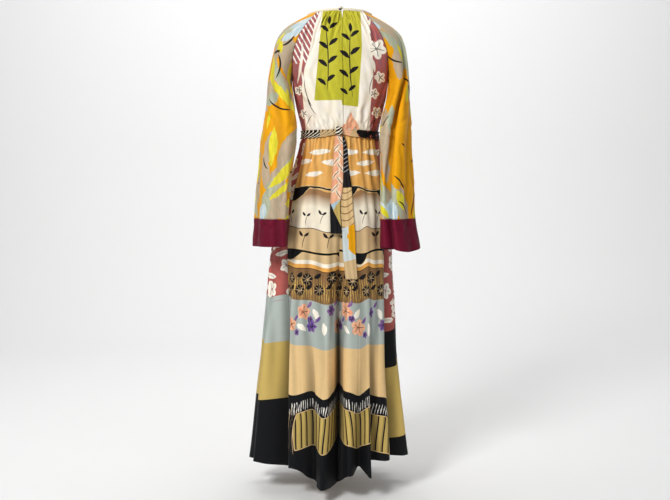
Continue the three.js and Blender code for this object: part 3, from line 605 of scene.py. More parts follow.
def cuff_tube(hand, columns=118, rows=24):
    """A cuff goes on down from the sleeve; its hem dips and lifts a little round the wrist."""
    c, r = np.meshgrid(evenly(columns, TUBE_ROWS, length=430), evenly(rows, near=(1.2, 2.6), length=90))
    share = c if hand > 0 else 1 - c
    wave = 7 * np.sin(np.radians(720 * share - 60)) if hand > 0 else 2 * np.sin(TAU * share)
    z = mix(CUFF_Z - SEAM, CUFF_HEM[hand] + wave, r)
    return sleeve_point(hand, sleeve_angle(share, z), z)


def skirt_panel(first, last, per_flute=30, rows=212):
    """A skirt panel between two valleys, each edge drawn in by half a seam. Small gathers run down from the
    belt, each of its own height and length."""
    steps = np.unique(np.concatenate([np.linspace(first, last, (last - first) * per_flute + 1),
                                      [first + 0.012, first + 0.03, last - 0.03, last - 0.012]]))
    r = evenly(rows, near=(1.2, 2.6, 5), length=1040)
    phase, share = np.meshgrid(steps, r)
    e = 0.01

    def run(at):
        """Length of cloth for each unit of phase, from two points close by."""
        a, b = (skirt_point(at + d, skirt_z(at + d, share)) for d in (-e, e))
        return np.linalg.norm(b - a, axis=-1) / (2 * e)

    low = first + SEWN / 2 / run(np.full(share.shape, float(first)))
    high = last - SEWN / 2 / run(np.full(share.shape, float(last)))
    phase = low + (high - low) * (phase - first) / (last - first)
    z = skirt_z(phase, share)
    p = skirt_point(phase, z)
    broad = np.cos(TAU * (1.5 * phase + 0.14 * np.sin(TAU * 0.37 * phase)))
    fine = np.cos(TAU * (3.1 * phase + 0.2 * np.sin(TAU * 0.53 * phase)))
    fall = WAIST_Z - BELT_HEIGHT / 2 - z
    small = gathered(3, 90, fall) * broad + gathered(1.6, 30, fall) * fine
    foot = (1 - share) * SKIRT_LENGTH
    ripple = 2.2 * np.exp(-foot / 46) * np.cos(TAU * (3.3 * phase + 0.4 * np.sin(TAU * 0.61 * phase)))
    meets = np.sin(math.pi * np.clip((phase - first) / (last - first), 0, 1)) ** 0.5
    return out_from_axis(p, small + ripple * meets), phase


# ---------------------------------------------------------------- printed motifs

FAR = -60.0  # how far outside every motif a field starts


def leaves(x, y, rows):
    """How far inside the nearest leaf each point lies, below 0 outside. A row is the middle's x and y, the
    turn in degrees from upright, length, width and bend: width / 2 (1 - u^2) - |v|, where u runs along and
    v across."""
    best = np.full(x.shape, FAR)
    for x0, y0, turn, long, wide, bend in rows:
        a = math.radians(turn)
        u = ((x - x0) * math.sin(a) + (y - y0) * math.cos(a)) / (long / 2)
        v = (x - x0) * math.cos(a) - (y - y0) * math.sin(a) - bend * wide * (1 - u * u)
        best = np.maximum(best, wide / 2 * (1 - u * u) - np.abs(v))
    return best


def blossoms(x, y, rows):
    """The same for blossoms. A row is x, y, radius, petals and turn:
    radius (0.64 + 0.36 |cos(petals t / 2)|) - r."""
    best = np.full(x.shape, FAR)
    for x0, y0, size, petals, turn in rows:
        r, t = np.hypot(x - x0, y - y0), np.arctan2(y - y0, x - x0)
        best = np.maximum(best, size * (0.64 + 0.36 * np.abs(np.cos(petals / 2 * t + turn))) - r)
    return best


def inside_of(y, edge, x, side):
    """How far points lie past an edge given as rows of height and x, on its left (side -1) or right (1)."""
    heights, at = np.array(edge, float).T
    return side * (x - np.interp(-y, -heights, at))


class Lines:
    """Thin drawn lines: the signed distance to the nearest one, and how far within its reach a point is."""

    def __init__(self, shape):
        self.side, self.near = np.full(shape, -FAR), np.full(shape, FAR)

    def lay(self, side, near):
        """Draws a line over the points that lie further within its reach than within any other's."""
        closer = near > self.near
        self.side[closer], self.near[closer] = side[closer], near[closer]

    def strokes(self, x, y, rows):
        """Tapered arcs. A row is the middle's x and y, turn from upright, length, radius and width."""
        for x0, y0, turn, long, bend, wide in rows:
            a = math.radians(turn)
            nx, ny = math.cos(a), -math.sin(a)
            dx, dy = x - x0 - nx * bend, y - y0 - ny * bend
            side = np.hypot(dx, dy) - abs(bend)
            flip = -math.copysign(1, bend)
            along = abs(bend) * np.arctan2((nx * dy - ny * dx) * flip, (nx * dx + ny * dy) * flip)
            taper = np.sqrt(np.clip(1 - (2 * along / long) ** 2, 0.05, 1))
            self.lay(side / (taper * wide), np.minimum(8 - np.abs(side), long / 2 - np.abs(along)))

    def rays(self, x, y, rows, reach=0.8, wide=1.0):
        """Veins from the middle of each blossom, one for each petal."""
        for x0, y0, size, petals, turn in rows:
            r, t = np.hypot(x - x0, y - y0), np.arctan2(y - y0, x - x0)
            side = r * np.sin(petals * t / 2 + turn) / (petals / 2) / wide
            self.lay(side, np.minimum(reach * size - r, r - 2))

    def named(self, name):
        """Both numbers, under the names that a print reads them by."""
        return {name + "_side": self.side, name + "_near": self.near}


def half_drop(wide, y0, y1, dx, dy, off, seed):
    """Places from -wide to wide in rows from y0 down to y1, every other row moved by half a step, and each
    place up to a share (off) of a step away. The third number of a place is its own, from -1 to 1."""
    rng = np.random.default_rng(seed)
    out = []
    for j, y in enumerate(np.arange(y0, y1, -dy)):
        for x in np.arange(-wide + (j % 2) * dx / 2, wide, dx):
            out.append((x + rng.uniform(-off, off) * dx, y + rng.uniform(-off, off) * dy, rng.uniform(-1, 1)))
    return out


def sprigs(places, long, wide):
    """A pair of leaves at each place, as rows for leaves()."""
    rows = []
    for x, y, r in places:
        for hand in (-1, 1):
            a = math.radians(hand * 48 + 14 * r)
            middle = x + math.sin(a) * long * 0.5, y + math.cos(a) * long * 0.5
            rows.append((*middle, math.degrees(a), long, wide, 0.15 * hand))
    return rows


# ---------------------------------------------------------------- sash, binding, button and loop

KNOT_WIDTH, KNOT_HEIGHT, KNOT_DEPTH, KNOT_X, KNOT_Z, KNOT_OUT = 23.0, 27.0, 16.0, -4.0, -377.0, 7.6
KNOT_POWER = 0.72  # 1 is a ball, 0 a box
BUTTON_SIZE, BUTTON_HEIGHT, BUTTON_X, BUTTON_Z, BUTTON_OUT, BUTTON_TILT = 12.0, 6.0, 1.5, -2.5, 2.5, 14.0
LOOP_THICK, LOOP_TAIL, LOOP_SLACK = 1.8, 9.0, 0.45
BINDING_THICK, BINDING_HEIGHT, BINDING_IN, BINDING_UP = 2.8, 6.8, 1.0, 4.1
TAIL_WIDTH, TAIL_EDGE = 34, 1.6  # the tails' usual width, and how far their rolled edge reaches
TAILS = {
    "left": table("z x width lift", [
        [-391, -5, 20, 10.4], [-399, -5, 22, 10.2], [-412, -5, 25, 9.2], [-435, -5.5, 28, 8.4],
        [-479, -6, 31, 8], [-550, -10.5, 34, 8], [-592, -14.5, 31, 8], [-640, -14.5, 32, 8.2],
        [-688, -13.5, 34, 9]]),
    "right": table("z x width lift", [
        [-391, 5, 9, 7.6], [-399, 7, 11, 7.5], [-412, 10, 13, 6.2], [-435, 14, 15, 5.2], [-479, 17, 18, 5],
        [-550, 20, 28, 5], [-600, 21, 36, 5], [-660, 23.5, 39, 5], [-720, 26, 39, 4.6], [-825, 33, 36, 4.6]]),
}


def belt_ring(columns=300, rows=30):
    """The sash round the waist, drawn narrow at the knot and sagging a little at the sides, in lengthwise
    pleats that run together towards the knot."""
    angle, v = np.meshgrid(np.linspace(0, TAU, columns + 1), evenly(rows, near=(0.8, 2), length=BELT_HEIGHT))
    near = np.exp(-((np.remainder(angle + math.pi, TAU) - math.pi) / 0.3) ** 2)
    high = BELT_HEIGHT * (1 - 0.4 * near + 0.04 * np.sin(5 * angle + 1))
    middle = WAIST_Z + 5 * near - 3.5 * np.sin(angle) ** 2 - 1.5 * np.sin(angle)
    z = middle + high * (0.5 - v)
    pleat = (0.5 + 0.5 * np.cos(2 * TAU * v + 0.5 * np.sin(3 * angle))) * 1.2
    small = 0.55 * np.cos(5 * TAU * v + 1.7 * np.sin(2 * angle) + 3 * np.sin(7 * angle) * (0.4 + near))
    crush = 0.7 * np.sin(17 * angle + 5 * v) * np.sin(9 * angle + 2) * (1 - near)
    return out_from_axis(waist_point(angle, z), BELT_LIFT + pleat + small + crush + 2.2 * near)


def knot_lump(columns=72, rows=48):
    """A soft squarish lump: a ball with each axis raised to a power, wound round by slanting creases."""
    turn, fall = np.meshgrid(np.linspace(0, TAU, columns + 1), np.linspace(0.02, math.pi - 0.02, rows + 1))
    x, y, z = -np.sin(fall) * np.sin(turn), np.sin(fall) * np.cos(turn), np.cos(fall)
    wound = z * 0.8 + x * 0.5
    crease = 1 - 0.16 * np.exp(-(wound / 0.16) ** 2) - 0.1 * np.exp(-((wound - 0.62) / 0.12) ** 2)
    crease -= 0.1 * np.exp(-((wound + 0.6 + 0.1 * x) / 0.13) ** 2) - 0.03 * np.sin(9 * wound + 4 * x)
    middle = -(BODY["back"][-1] + KNOT_OUT + KNOT_DEPTH / 2)
    full = [np.sign(v) * np.abs(v) ** KNOT_POWER for v in (x, y, z)]
    return np.stack([KNOT_X + full[0] * KNOT_WIDTH / 2 * crease, middle + full[1] * KNOT_DEPTH / 2 * crease,
                     KNOT_Z + full[2] * KNOT_HEIGHT / 2], -1)


def tail_strip(rows, across=30, down=170):
    """A sash tail down the back of the skirt, cupped across its width, crushed into lengthwise folds where it
    leaves the knot and waving a little lower down."""
    c, r = np.meshgrid(evenly(across, near=(1,), length=TAIL_WIDTH), np.linspace(0, 1, down + 1))
    z = mix(rows["z"][0], rows["z"][-1], r)
    v = 2 * c - 1
    x = column(rows, "x", z) + v * column(rows, "width", z) / 2
    left, right = column(SKIRT, "left", z), column(SKIRT, "right", z)
    p = waist_point(np.arcsin(2 * x / (left + right)), z)
    far = np.clip((rows["z"][0] - z) / 90, 0, 1)
    folds = 1.5 * (1 - far) * np.cos(5 * v + 1) + 0.8 * np.sin(2.2 * math.pi * v + z / 60) * far
    edge = 0.5 * np.exp(-((1 - np.abs(v)) * TAIL_WIDTH / 2 / TAIL_EDGE) ** 2)
    p[..., 0] = x + 0.7 * np.sin(z / 23) * far
    p[..., 1] -= column(rows, "lift", z) + 0.4 * np.cos(math.pi * v) + folds + edge
    return p


def sweep(path, across, out, section):
    """Carries a closed section along a path, as a grid with a column for each point of the section."""
    return path[:, None] + across[:, None] * section[None, :, :1] + out[:, None] * section[None, :, 1:]


def rounded(n, wide, high, power=0.6):
    """A closed section between a circle and a rectangle, first and last points alike."""
    a = np.linspace(0, -TAU, n + 1)
    c, s = (np.sign(v) * np.abs(v) ** power for v in (np.cos(a), np.sin(a)))
    return np.stack([c * wide / 2, s * high / 2], -1)


def binding_band():
    """The neck binding: an upright band carried round the neckline from one side of the keyhole to the
    other."""
    tops = [g[0] for g in (back_half(1), sleeve_tube(1)[0], front_piece(), sleeve_tube(-1)[0], back_half(-1))]
    path = np.concatenate(tops)
    path = path[np.concatenate([[True], np.linalg.norm(np.diff(path, axis=0), axis=1) > 0.8])]
    along = np.gradient(path, axis=0)
    along /= np.linalg.norm(along, axis=1, keepdims=True)
    out = np.cross(along, [0, 0, 1.0])
    out /= np.linalg.norm(out, axis=1, keepdims=True)
    up = np.cross(out, along)
    section = rounded(16, BINDING_THICK, BINDING_HEIGHT, 0.5)
    return sweep(path - out * BINDING_IN + up * BINDING_UP, out, up, section)


def on_neck(p):
    """Leans points drawn round the origin to the slope of the cloth and sets them at the button's place."""
    a = math.radians(-BUTTON_TILT)
    face = -(column(YOKE, "back", NECK_Z) + BUTTON_OUT)
    y = p[..., 1] * math.cos(a) - p[..., 2] * math.sin(a)
    z = p[..., 1] * math.sin(a) + p[..., 2] * math.cos(a)
    return np.stack([p[..., 0] + BUTTON_X, y + face, z + BUTTON_Z], -1)


def button_dome(columns=48, rows=26):
    """A covered button: a dome with a rounded rim and a slightly puckered cloth."""
    turn, f = np.meshgrid(np.linspace(0, TAU, columns + 1), np.linspace(0.01, 1, rows + 1))
    profile = table("f r h", [[0, 0, 1], [0.3, 0.5, 0.95], [0.55, 0.82, 0.78], [0.75, 0.98, 0.48],
                              [0.85, 1, 0.24], [1, 0.8, 0.02]])
    r, h = (np.interp(f, profile["f"], profile[k]) for k in ("r", "h"))
    pucker = 1 + 0.012 * np.sin(9 * turn) * f ** 4
    return on_neck(np.stack([-np.sin(turn) * r * pucker * BUTTON_SIZE / 2, -h * BUTTON_HEIGHT,
                             np.cos(turn) * r * pucker * BUTTON_SIZE / 2], -1))


def loop_cord():
    """A thin round cloth loop, like a rouleau, that passes round the button and goes back."""
    reach = (BUTTON_SIZE + LOOP_THICK) / 2 + LOOP_SLACK
    turn = np.linspace(1.45, TAU - 1.45, 40)
    x = np.concatenate([[LOOP_TAIL], reach * np.cos(turn), [LOOP_TAIL]])
    z = np.concatenate([[reach * 0.8], reach * np.sin(turn), [-reach * 0.8]])
    a = np.concatenate([[1.75], turn, [-1.75]])
    path = np.stack([x, np.full(x.shape, -LOOP_THICK / 2), z], -1)
    out = np.stack([np.cos(a), 0 * a, np.sin(a)], -1)
    up = np.tile([0, -1.0, 0], (len(x), 1))
    return on_neck(sweep(path, out, up, rounded(10, LOOP_THICK, LOOP_THICK, 1)))


# ---------------------------------------------------------------- camera and lights

CAMERA_AT, CAMERA_TIP = (-0.016, -3.0, -0.52), 2.9
SENSOR, LENS, SHIFT_Y = 36, 50.97, -0.036


def put_camera():
    """A camera 3 m behind the dress, tipped a little down."""
    data = bpy.data.cameras.new("camera")
    data.sensor_width = SENSOR
    data.lens = LENS
    data.shift_y = SHIFT_Y
    ob = placed("camera", data)
    ob.location = CAMERA_AT
    ob.rotation_euler = (math.radians(90 - CAMERA_TIP), 0, 0)
    bpy.context.scene.camera = ob


def put_light(name, at, towards, size, power):
    """A soft square light aimed at a point."""
    data = bpy.data.lights.new(name, "AREA")
    data.size = size
    data.energy = power
    ob = placed(name, data)
    ob.location = at
    ob.rotation_euler = (Vector(towards) - Vector(at)).to_track_quat("-Z", "Y").to_euler()


put_camera()


# ---------------------------------------------------------------- shader maths

def rgb(r, g, b):
    """A colour given in 0 to 255, as the renderer's linear numbers."""
    c = np.array([r, g, b]) / 255
    return (*np.where(c <= 0.04045, c / 12.92, ((c + 0.055) / 1.055) ** 2.4), 1.0)


class Val:
    """A shader socket that takes part in expressions: + - * and % with other sockets or numbers, its sine,
    its size without a sign, and the lower or higher of two."""

    def __init__(self, net, socket):
        self.net, self.socket = net, socket

    def maths(self, operation, *values, clamp=False):
        """One step of arithmetic, as a node."""
        return self.net.add("ShaderNodeMath", values, operation=operation, use_clamp=clamp)

    def __add__(self, o):
        return self.maths("ADD", self, o)

    __radd__ = __add__

    def __mul__(self, o):
        return self.maths("MULTIPLY", self, o)

    __rmul__ = __mul__

    def __sub__(self, o):
        return self.maths("SUBTRACT", self, o)

    def __rsub__(self, o):
        return self.maths("SUBTRACT", o, self)

    def __mod__(self, o):
        return self.maths("FLOORED_MODULO", self, o)

    def sin(self):
        return self.maths("SINE", self)

    def size(self):
        return self.maths("ABSOLUTE", self)

    def low(self, o):
        return self.maths("MINIMUM", self, o)

    def high(self, o):
        return self.maths("MAXIMUM", self, o)

    def over(self, soft=0.4):
        """1 where the value is above 0, 0 below, turning over a width of soft."""
        return self.maths("MULTIPLY_ADD", self, 1 / soft, 0.5, clamp=True)

    def line(self, wide, soft=0.8):
        """1 within wide of 0, to both sides."""
        return (wide - self.size()).over(soft)

    def lines(self, every, middle, wide, soft=0.8):
        """A line in each stretch of the given length."""
        return (self % every - middle).line(wide, soft)

    def bars(self, every, gap, soft=0.8):
        """1 in what is left of each stretch of the given length after a gap."""
        return (self % every - gap).over(soft)


class Net:
    """The node tree of one material."""

    def __init__(self, name):
        self.material = bpy.data.materials.new(name)
        self.material.use_nodes = True
        self.tree = self.material.node_tree
        self.tree.nodes.clear()

    def add(self, kind, values=(), out=0, **settings):
        """A node with its settings, then the values or links of its sockets, by number or by name."""
        node = self.tree.nodes.new(kind)
        for key, value in settings.items():
            setattr(node, key, value)
        pairs = values.items() if isinstance(values, dict) else enumerate(values)
        for key, value in pairs:
            if isinstance(value, Val):
                self.tree.links.new(value.socket, node.inputs[key])
            else:
                whole = getattr(node.inputs[key].default_value, "__len__", lambda: 0)()
                cut = whole and isinstance(value, tuple)
                node.inputs[key].default_value = value[:whole] if cut else value
        return Val(self, node.outputs[out]) if len(node.outputs) else None

    def number(self, name):
        """A number kept on the cloth's points."""
        return self.add("ShaderNodeAttribute", out=2, attribute_name=name)

    def drawn(self, name, wide):
        """Where thin lines kept on the cloth's points run."""
        return self.number(name + "_side").line(wide, 0.7) * self.number(name + "_near").over(1.5)

    def noise(self, vector, scale, detail=2.0, rough=0.5):
        """Uneven lumps round 0.5, about 1 / scale apart in the vector's units."""
        return self.add("ShaderNodeTexNoise", {"Vector": vector, "Scale": scale, "Detail": detail,
                                               "Roughness": rough})

    def mix(self, factor, a, b):
        """Colour a turning to colour b."""
        return self.add("ShaderNodeMix", {0: factor, 6: a, 7: b}, out=2, data_type="RGBA")

    def shade(self, colour, amount):
        """A colour made darker or lighter by a number near 1."""
        return self.add("ShaderNodeVectorMath", {0: colour, "Scale": amount}, operation="SCALE")


STREAKS = (0.16, 0.03, 1)  # scale of the streaks across and down


class ClothNet(Net):
    """The node tree of a cloth, with its own measure in millimetres: across, down, and both as a vector."""

    def __init__(self, name):
        super().__init__(name)
        uv = self.add("ShaderNodeUVMap", uv_map="cloth")
        self.vector = self.add("ShaderNodeVectorMath", {0: uv, 1: (1000, -1000, 1)}, operation="MULTIPLY")
        self.across = self.add("ShaderNodeSeparateXYZ", [self.vector])
        self.down = self.add("ShaderNodeSeparateXYZ", [self.vector], out=1)

    @cached_property
    def streak(self):
        """A noise from -0.5 to 0.5 in streaks, which roughens what is printed."""
        long_way = self.add("ShaderNodeVectorMath", {0: self.vector, 1: STREAKS}, operation="MULTIPLY")
        return self.noise(long_way, 1.0, 3.0) - 0.5

    @cached_property
    def level(self):
        """The height that bands follow."""
        return self.number("level")


WARP, WEFT = 0.9, 0.8  # millimetres from thread to thread
STITCH, STITCH_GAP = 3.2, 1.0  # from stitch to stitch, and the gap between them
THREADS_HIGH, PEBBLES_HIGH, CRUMPLE_HIGH, STITCH_DEEP, SEAM_DEEP = 0.00004, 0.00012, 0.0016, 0.0003, 0.0004
# how much darker stitches and seam lines are, how much painted light and shade the small folds get, and how
# much painted shade lies deep between folds
STITCH_DARK, SEAM_DARK, BEND_PAINTED_SHADING, SUNK_PAINTED_SHADE = 0.25, 0.22, 0.27, 0.72


def finish_cloth(net, colour, rough=0.62, sheen=0.04, stitched=0.0):
    """Crepe: a fine pebbled weave of twisted threads crossing each other, with a soft sheen, an uneven dye, a
    seam line along the sides and, where stitched is above 0, a row of stitches that far above the lower edge.
    Stitched cloth also gets painted light on its small ridges, painted shade in its small troughs, and
    painted shade deep between its folds."""
    threads = (net.across * (TAU / WARP)).sin() * 0.5 + (net.down * (TAU / WEFT)).sin() * 0.5
    pebbles = net.noise(net.vector, 0.9, 2.0)
    slubs = net.noise(net.vector, 0.06, 3.0)
    crumple = net.noise(net.vector, 0.035, 4.0, 0.6)
    height = threads * THREADS_HIGH + pebbles * PEBBLES_HIGH + crumple * CRUMPLE_HIGH
    tone = 0.94 + slubs * 0.1 + (pebbles - 0.5) * 0.08
    if stitched:
        stitch = (net.number("hem") - stitched).line(0.5, 0.4) * net.across.bars(STITCH, STITCH_GAP, 0.5)
        seam = (1.1 - net.number("seam")).over(1.2)
        height = height - stitch * STITCH_DEEP - seam * SEAM_DEEP
        tone = tone * (1.0 - stitch * STITCH_DARK) * (1.0 - seam * SEAM_DARK)
        # painted light on small ridges and painted shade in small troughs (bend), and painted shade deep
        # between the skirt's folds (sunk)
        tone = tone * (net.number("bend") * BEND_PAINTED_SHADING + 1.0) * (1.0 - net.number("sunk") * SUNK_PAINTED_SHADE)
    bump = net.add("ShaderNodeBump", {"Strength": 0.9, "Distance": 1.0, "Height": height})
    shader = net.add("ShaderNodeBsdfPrincipled", {
        "Base Color": net.shade(colour, tone), "Roughness": rough + (pebbles - 0.5) * 0.12,
        "Sheen Weight": sheen, "Sheen Roughness": 0.4, "Specular IOR Level": 0.14, "Normal": bump})
    net.add("ShaderNodeOutputMaterial", [shader])
    return net.material


def plain(name, colour, **more):
    """Cloth of one dye."""
    return finish_cloth(ClothNet(name), colour, **more)


# ---------------------------------------------------------------- colours

BLACK, INK = rgb(12, 13, 16), rgb(30, 22, 24)
CREAM, WHITE, GREY = rgb(238, 228, 206), rgb(244, 238, 228), rgb(158, 156, 154)
CHARTREUSE, CHARTREUSE_DEEP = rgb(190, 184, 50), rgb(182, 176, 46)
ROSE, MAUVE, BURGUNDY = rgb(176, 92, 84), rgb(150, 98, 104), rgb(98, 8, 36)
ORANGE, AMBER = rgb(224, 157, 3), rgb(215, 147, 5)
TAUPE, SAGE, LIME, LEMON = rgb(184, 162, 136), rgb(176, 178, 152), rgb(206, 196, 38), rgb(222, 206, 60)
SKY, PALE_BLUE = rgb(168, 190, 200), rgb(200, 210, 208)
TAN, BEIGE, SAND, BROWN = rgb(221, 160, 78), rgb(206, 176, 130), rgb(216, 183, 130), rgb(126, 94, 60)
GREY_BLUE, OLIVE_GOLD, GOLD = rgb(164, 172, 166), rgb(186, 160, 90), rgb(216, 180, 96)
CORAL, PEACH, VIOLET, PLUM = rgb(226, 152, 118), rgb(236, 184, 146), rgb(92, 70, 150), rgb(134, 96, 138)
DRAWN = 1.1  # softness of a band's edge that is drawn with a thin dark line


def printed(name, ground, layers=(), bands=(), extra=None, lines=(), stitched=0.0):
    """Printed crepe on a ground of two dyes. Bands change the ground below a level; layers lay a pair of
    colours where a field is above 0, its edge made ragged by the streaks; the extra pattern follows, and thin
    lines are drawn last."""
    net = ClothNet(name)
    cloudy = net.noise(net.vector, 0.02, 2.0) - 0.5
    colour = net.mix((cloudy * 2.5).over(1), ground[0], ground[1])
    for edge, below, soft in bands:
        colour = net.mix((edge - net.level).over(soft), colour, below)
        if soft == DRAWN:
            colour = net.mix((net.level - edge).line(1.0, 0.7), colour, INK)
    for key, first, second, ragged in layers:
        field = net.number(key) + net.streak * ragged
        colour = net.mix(field.over(1.0), colour, net.mix((net.streak * 5).over(1), first, second))
    if extra:
        colour = extra(net, colour)
    for key, ink, wide in lines:
        colour = net.mix(net.drawn(key, wide), colour, ink)
    return finish_cloth(net, colour, rough=0.6, stitched=stitched)


def bodice_stripes(net, colour):
    """White diagonal stripes on the upper part of the rose side."""
    bars = (net.number("x") * 0.88 + net.level * 0.47 + net.streak * 3).bars(13.0, 8.6)
    return net.mix(bars * net.number("striped").over(4), colour, WHITE)


# Heights in the skirt's print: the golden stems, the black hem band, and the dashes and gold band in it.
STEMS_TOP, STEMS_FOOT = -830, -884
HEM_TOP, DASHES_TOP, GOLD_TOP, GOLD_FOOT = -1172, -1196, -1232, -1338


def hem_pattern(net, colour):
    """Golden stems in the brown band; in the hem a gold band with dark curved stripes and a row of short
    dashes."""
    level, streak = net.level, net.streak
    stems = (net.across + streak * 14).lines(8.5, 4.2, 1.0)
    stems = stems * (level - STEMS_FOOT).over(30) * (STEMS_TOP - level).over(40)
    colour = net.mix(stems * (0.5 - net.number("dark")).over(1), colour, GOLD)
    scallop = net.number("scallop")
    colour = net.mix((scallop + 2.6).over(0.8), colour, SAND)
    colour = net.mix(scallop.over(0.8), colour, BLACK)
    hem, gold, stripe = net.number("hem_level"), net.number("gold"), net.number("stripe")
    colour = net.mix((HEM_TOP - hem).over(1), colour, BLACK)
    colour = net.mix((hem - HEM_TOP).line(1.6), colour, SAND)
    bars = stripe.lines(21.0, 10.5, 2.6).high((stripe + 5).lines(21.0, 10.5, 1.0) * 0.6)
    colour = net.mix(gold.over(1), colour, net.mix(bars, OLIVE_GOLD, INK))
    colour = net.mix((gold + 1.5).line(1.2), colour, SAND)
    lean = stripe + 4 * (hem * 0.07).sin() + streak * 9
    row = (gold + 34).low(-6 - gold) + streak * 52
    dashes = lean.lines(8.5, 4.2, 1.25, 0.7) * row.over(1)
    dashes = dashes * (DASHES_TOP - hem).over(1) * (hem - GOLD_TOP).over(1)
    return net.mix(dashes, colour, net.mix((streak * 6).over(1), GREY, WHITE))


def sash_pattern(net, colour):
    """Slanting black and cream stripes on the left, dashes on beige, then dark cloth with pink spots."""
    x, streak = net.number("x"), net.streak
    slant = net.across * 0.8 + net.down * 1.1 + streak * 2
    striped = net.mix(slant.bars(13.0, 9.2), BLACK, CREAM)
    dashes = net.mix(slant.bars(13.0, 10.4), BEIGE, INK)
    spots = net.mix((net.noise(net.vector, 0.09, 1.0) - 0.62).over(0.02), BLACK, ROSE)
    colour = net.mix((x + 62).over(2), striped, dashes)
    colour = net.mix((x - 2).over(20), colour, PEACH)
    colour = net.mix((x - 34 + streak * 30).over(3), colour, BEIGE)
    return net.mix((x - 52 + streak * 30).over(2), colour, spots)


def knot_pattern(net, colour):
    """Black and cream stripes."""
    return net.mix((net.across * 0.7 + net.down).bars(11.0, 6.6), BLACK, CREAM)


def left_tail_pattern(net, colour):
    """Coral and cream in slanting leaves, then grey-blue, then olive gold, then black."""
    s, t = net.across, net.down
    colour = net.mix(net.drawn("ink", 1.1), colour, INK)
    colour = net.mix((t - 206 + s * 0.5).over(1), colour, SKY)
    colour = net.mix((t - 222 + s * 1.5).over(1), colour, OLIVE_GOLD)
    return net.mix((t - 244 - s * 2.2).over(1), colour, BLACK)


def right_tail_pattern(net, colour):
    """Black with thin pale stripes, sand with thin dark ones, then orange with pale blue, and a beige end."""
    s, t, streak = net.across, net.down, net.streak
    colour = net.mix((t + s * 0.5).lines(13.0, 6.5, 1.3) * (118 - t).over(4), colour, GREY)
    tan = net.mix((t + s * s * 0.02 + s * 0.3).lines(21.0, 10.5, 1.6), SAND, BROWN)
    colour = net.mix((t - 163).over(1), colour, tan)
    petals = net.mix((s + 2 + streak * 30).over(1.5), PALE_BLUE, ORANGE)
    colour = net.mix((t - 281 + s * 0.3).over(1), colour, petals)
    colour = net.mix((t - 352 - s * 0.9 + streak * 12).over(1), colour, PALE_BLUE)
    return net.mix((t - 384 + s * 0.2).over(1), colour, BEIGE)


# ---------------------------------------------------------------- prints laid on the pieces

# Edges on the back, as rows of height and x.
ROSE_LEFT = [(0, -60), (-10, -64), (-58, -79), (-143, -95), (-186, -109), (-241, -118), (-300, -113),
             (-384, -106)]
ROSE_RIGHT = [(0, 72), (-10, 76), (-58, 90), (-143, 98), (-208, 101), (-241, 98), (-300, 93), (-384, 92)]
PANEL_LEFT = [(0, -52), (-10, -54), (-290, -80)]
PANEL_RIGHT = [(0, 62), (-120, 66), (-310, 54)]
# A sprig's middle, and the length and width of its leaves. The other motifs are rows for leaves(), blossoms()
# and strokes().
BODICE_SPRIGS = [(-34, -66, 34, 12), (-36, -118, 38, 13), (-38, -172, 38, 13), (-42, -228, 36, 12),
                 (30, -92, 36, 12), (29, -146, 40, 14), (26, -204, 38, 13), (24, -258, 32, 11)]
PANEL_FOOT = -284
PANEL_LEAVES = [(-33, -38, 4, 30, 11, 0), (31, -62, -4, 32, 11, 0)]
PANEL_STEMS = [(-37, -150, 178, 210, 900, 1.5), (29, -176, 178, 200, -900, 1.5)]
FRONT_ROSE = [0, 150, 250, 384], [74, 104, 112, 96]  # how far down, and how far out the rose begins
STRIPES_FOOT = -170
BODICE_FLOWERS = [(112, -128, 31, 5, 0.4), (122, -212, 19, 5, 1.4), (104, -262, 17, 5, 0.1),
                  (114, -318, 18, 5, 0.9), (-128, -250, 15, 5, 0.3), (-112, -322, 15, 5, 1.2)]
BODICE_LEAVES = [(84, -52, 20, 50, 9, 0.2), (100, -176, -14, 46, 10, 0.2), (-124, -168, 8, 130, 9, 0.5),
                 (-113, -250, -6, 120, 8, 0.4)]
BODICE_STEMS = [(-104, -262, -16, 90, 160, 1.1), (-92, -300, -26, 70, 120, 1.0), (-96, -340, 30, 34, 60, 0.9),
                (96, -96, -28, 40, 60, 0.9), (92, -236, 12, 60, 90, 0.9), (104, -348, 24, 30, 40, 0.9)]
TULIP = [(24, -352, 18, 52, 17, 0.2), (36, -350, -8, 60, 20, -0.1), (48, -354, -30, 48, 16, -0.2),
         (14, -362, 52, 36, 12, 0.1)]


def bodice_print(p, back):
    """On the back a plain green panel with leaf sprays, cream round it with a tulip, and rose at both
    sides, striped on the upper left; on the front cream and rose alone."""
    x, z = p[..., 0], p[..., 2]
    lines = Lines(x.shape)
    flowers = BODICE_FLOWERS
    if back:
        rose = np.maximum(inside_of(z, ROSE_LEFT, x, -1), inside_of(z, ROSE_RIGHT, x, 1))
        panel = np.minimum(inside_of(z, PANEL_LEFT, x, 1), inside_of(z, PANEL_RIGHT, x, -1))
        panel = np.minimum(panel, z - PANEL_FOOT + np.where(x > BACK_SEAM_X, 14 + 0.1 * x, 0))
        sprays = [(x0 + hand * 0.42 * long, z0 + (10 if hand > 0 else 0), hand * 52, long, wide, hand * -0.2)
                  for x0, z0, long, wide in BODICE_SPRIGS for hand in (-1, 1)]
        dark, tulip = leaves(x, z, sprays + PANEL_LEAVES), leaves(x, z, TULIP)
        striped = np.minimum(rose, np.minimum(z - STRIPES_FOOT, -x))
        lines.strokes(x, z, PANEL_STEMS)
    else:
        rose = np.abs(x) - np.interp(-z, *FRONT_ROSE)
        panel = dark = tulip = striped = np.full(x.shape, FAR)
        flowers = flowers + [(-x0, z0 - 90, size * 0.8, petals, turn + 0.7)
                             for x0, z0, size, petals, turn in flowers]
    white = np.maximum(blossoms(x, z, flowers), leaves(x, z, BODICE_LEAVES))
    lines.rays(x, z, flowers, 0.72, 0.8)
    lines.strokes(x, z, BODICE_STEMS)
    return dict(x=x, level=z, rose=rose, panel=panel, dark=dark, white=white, warm=tulip, striped=striped,
                **lines.named("ink"))


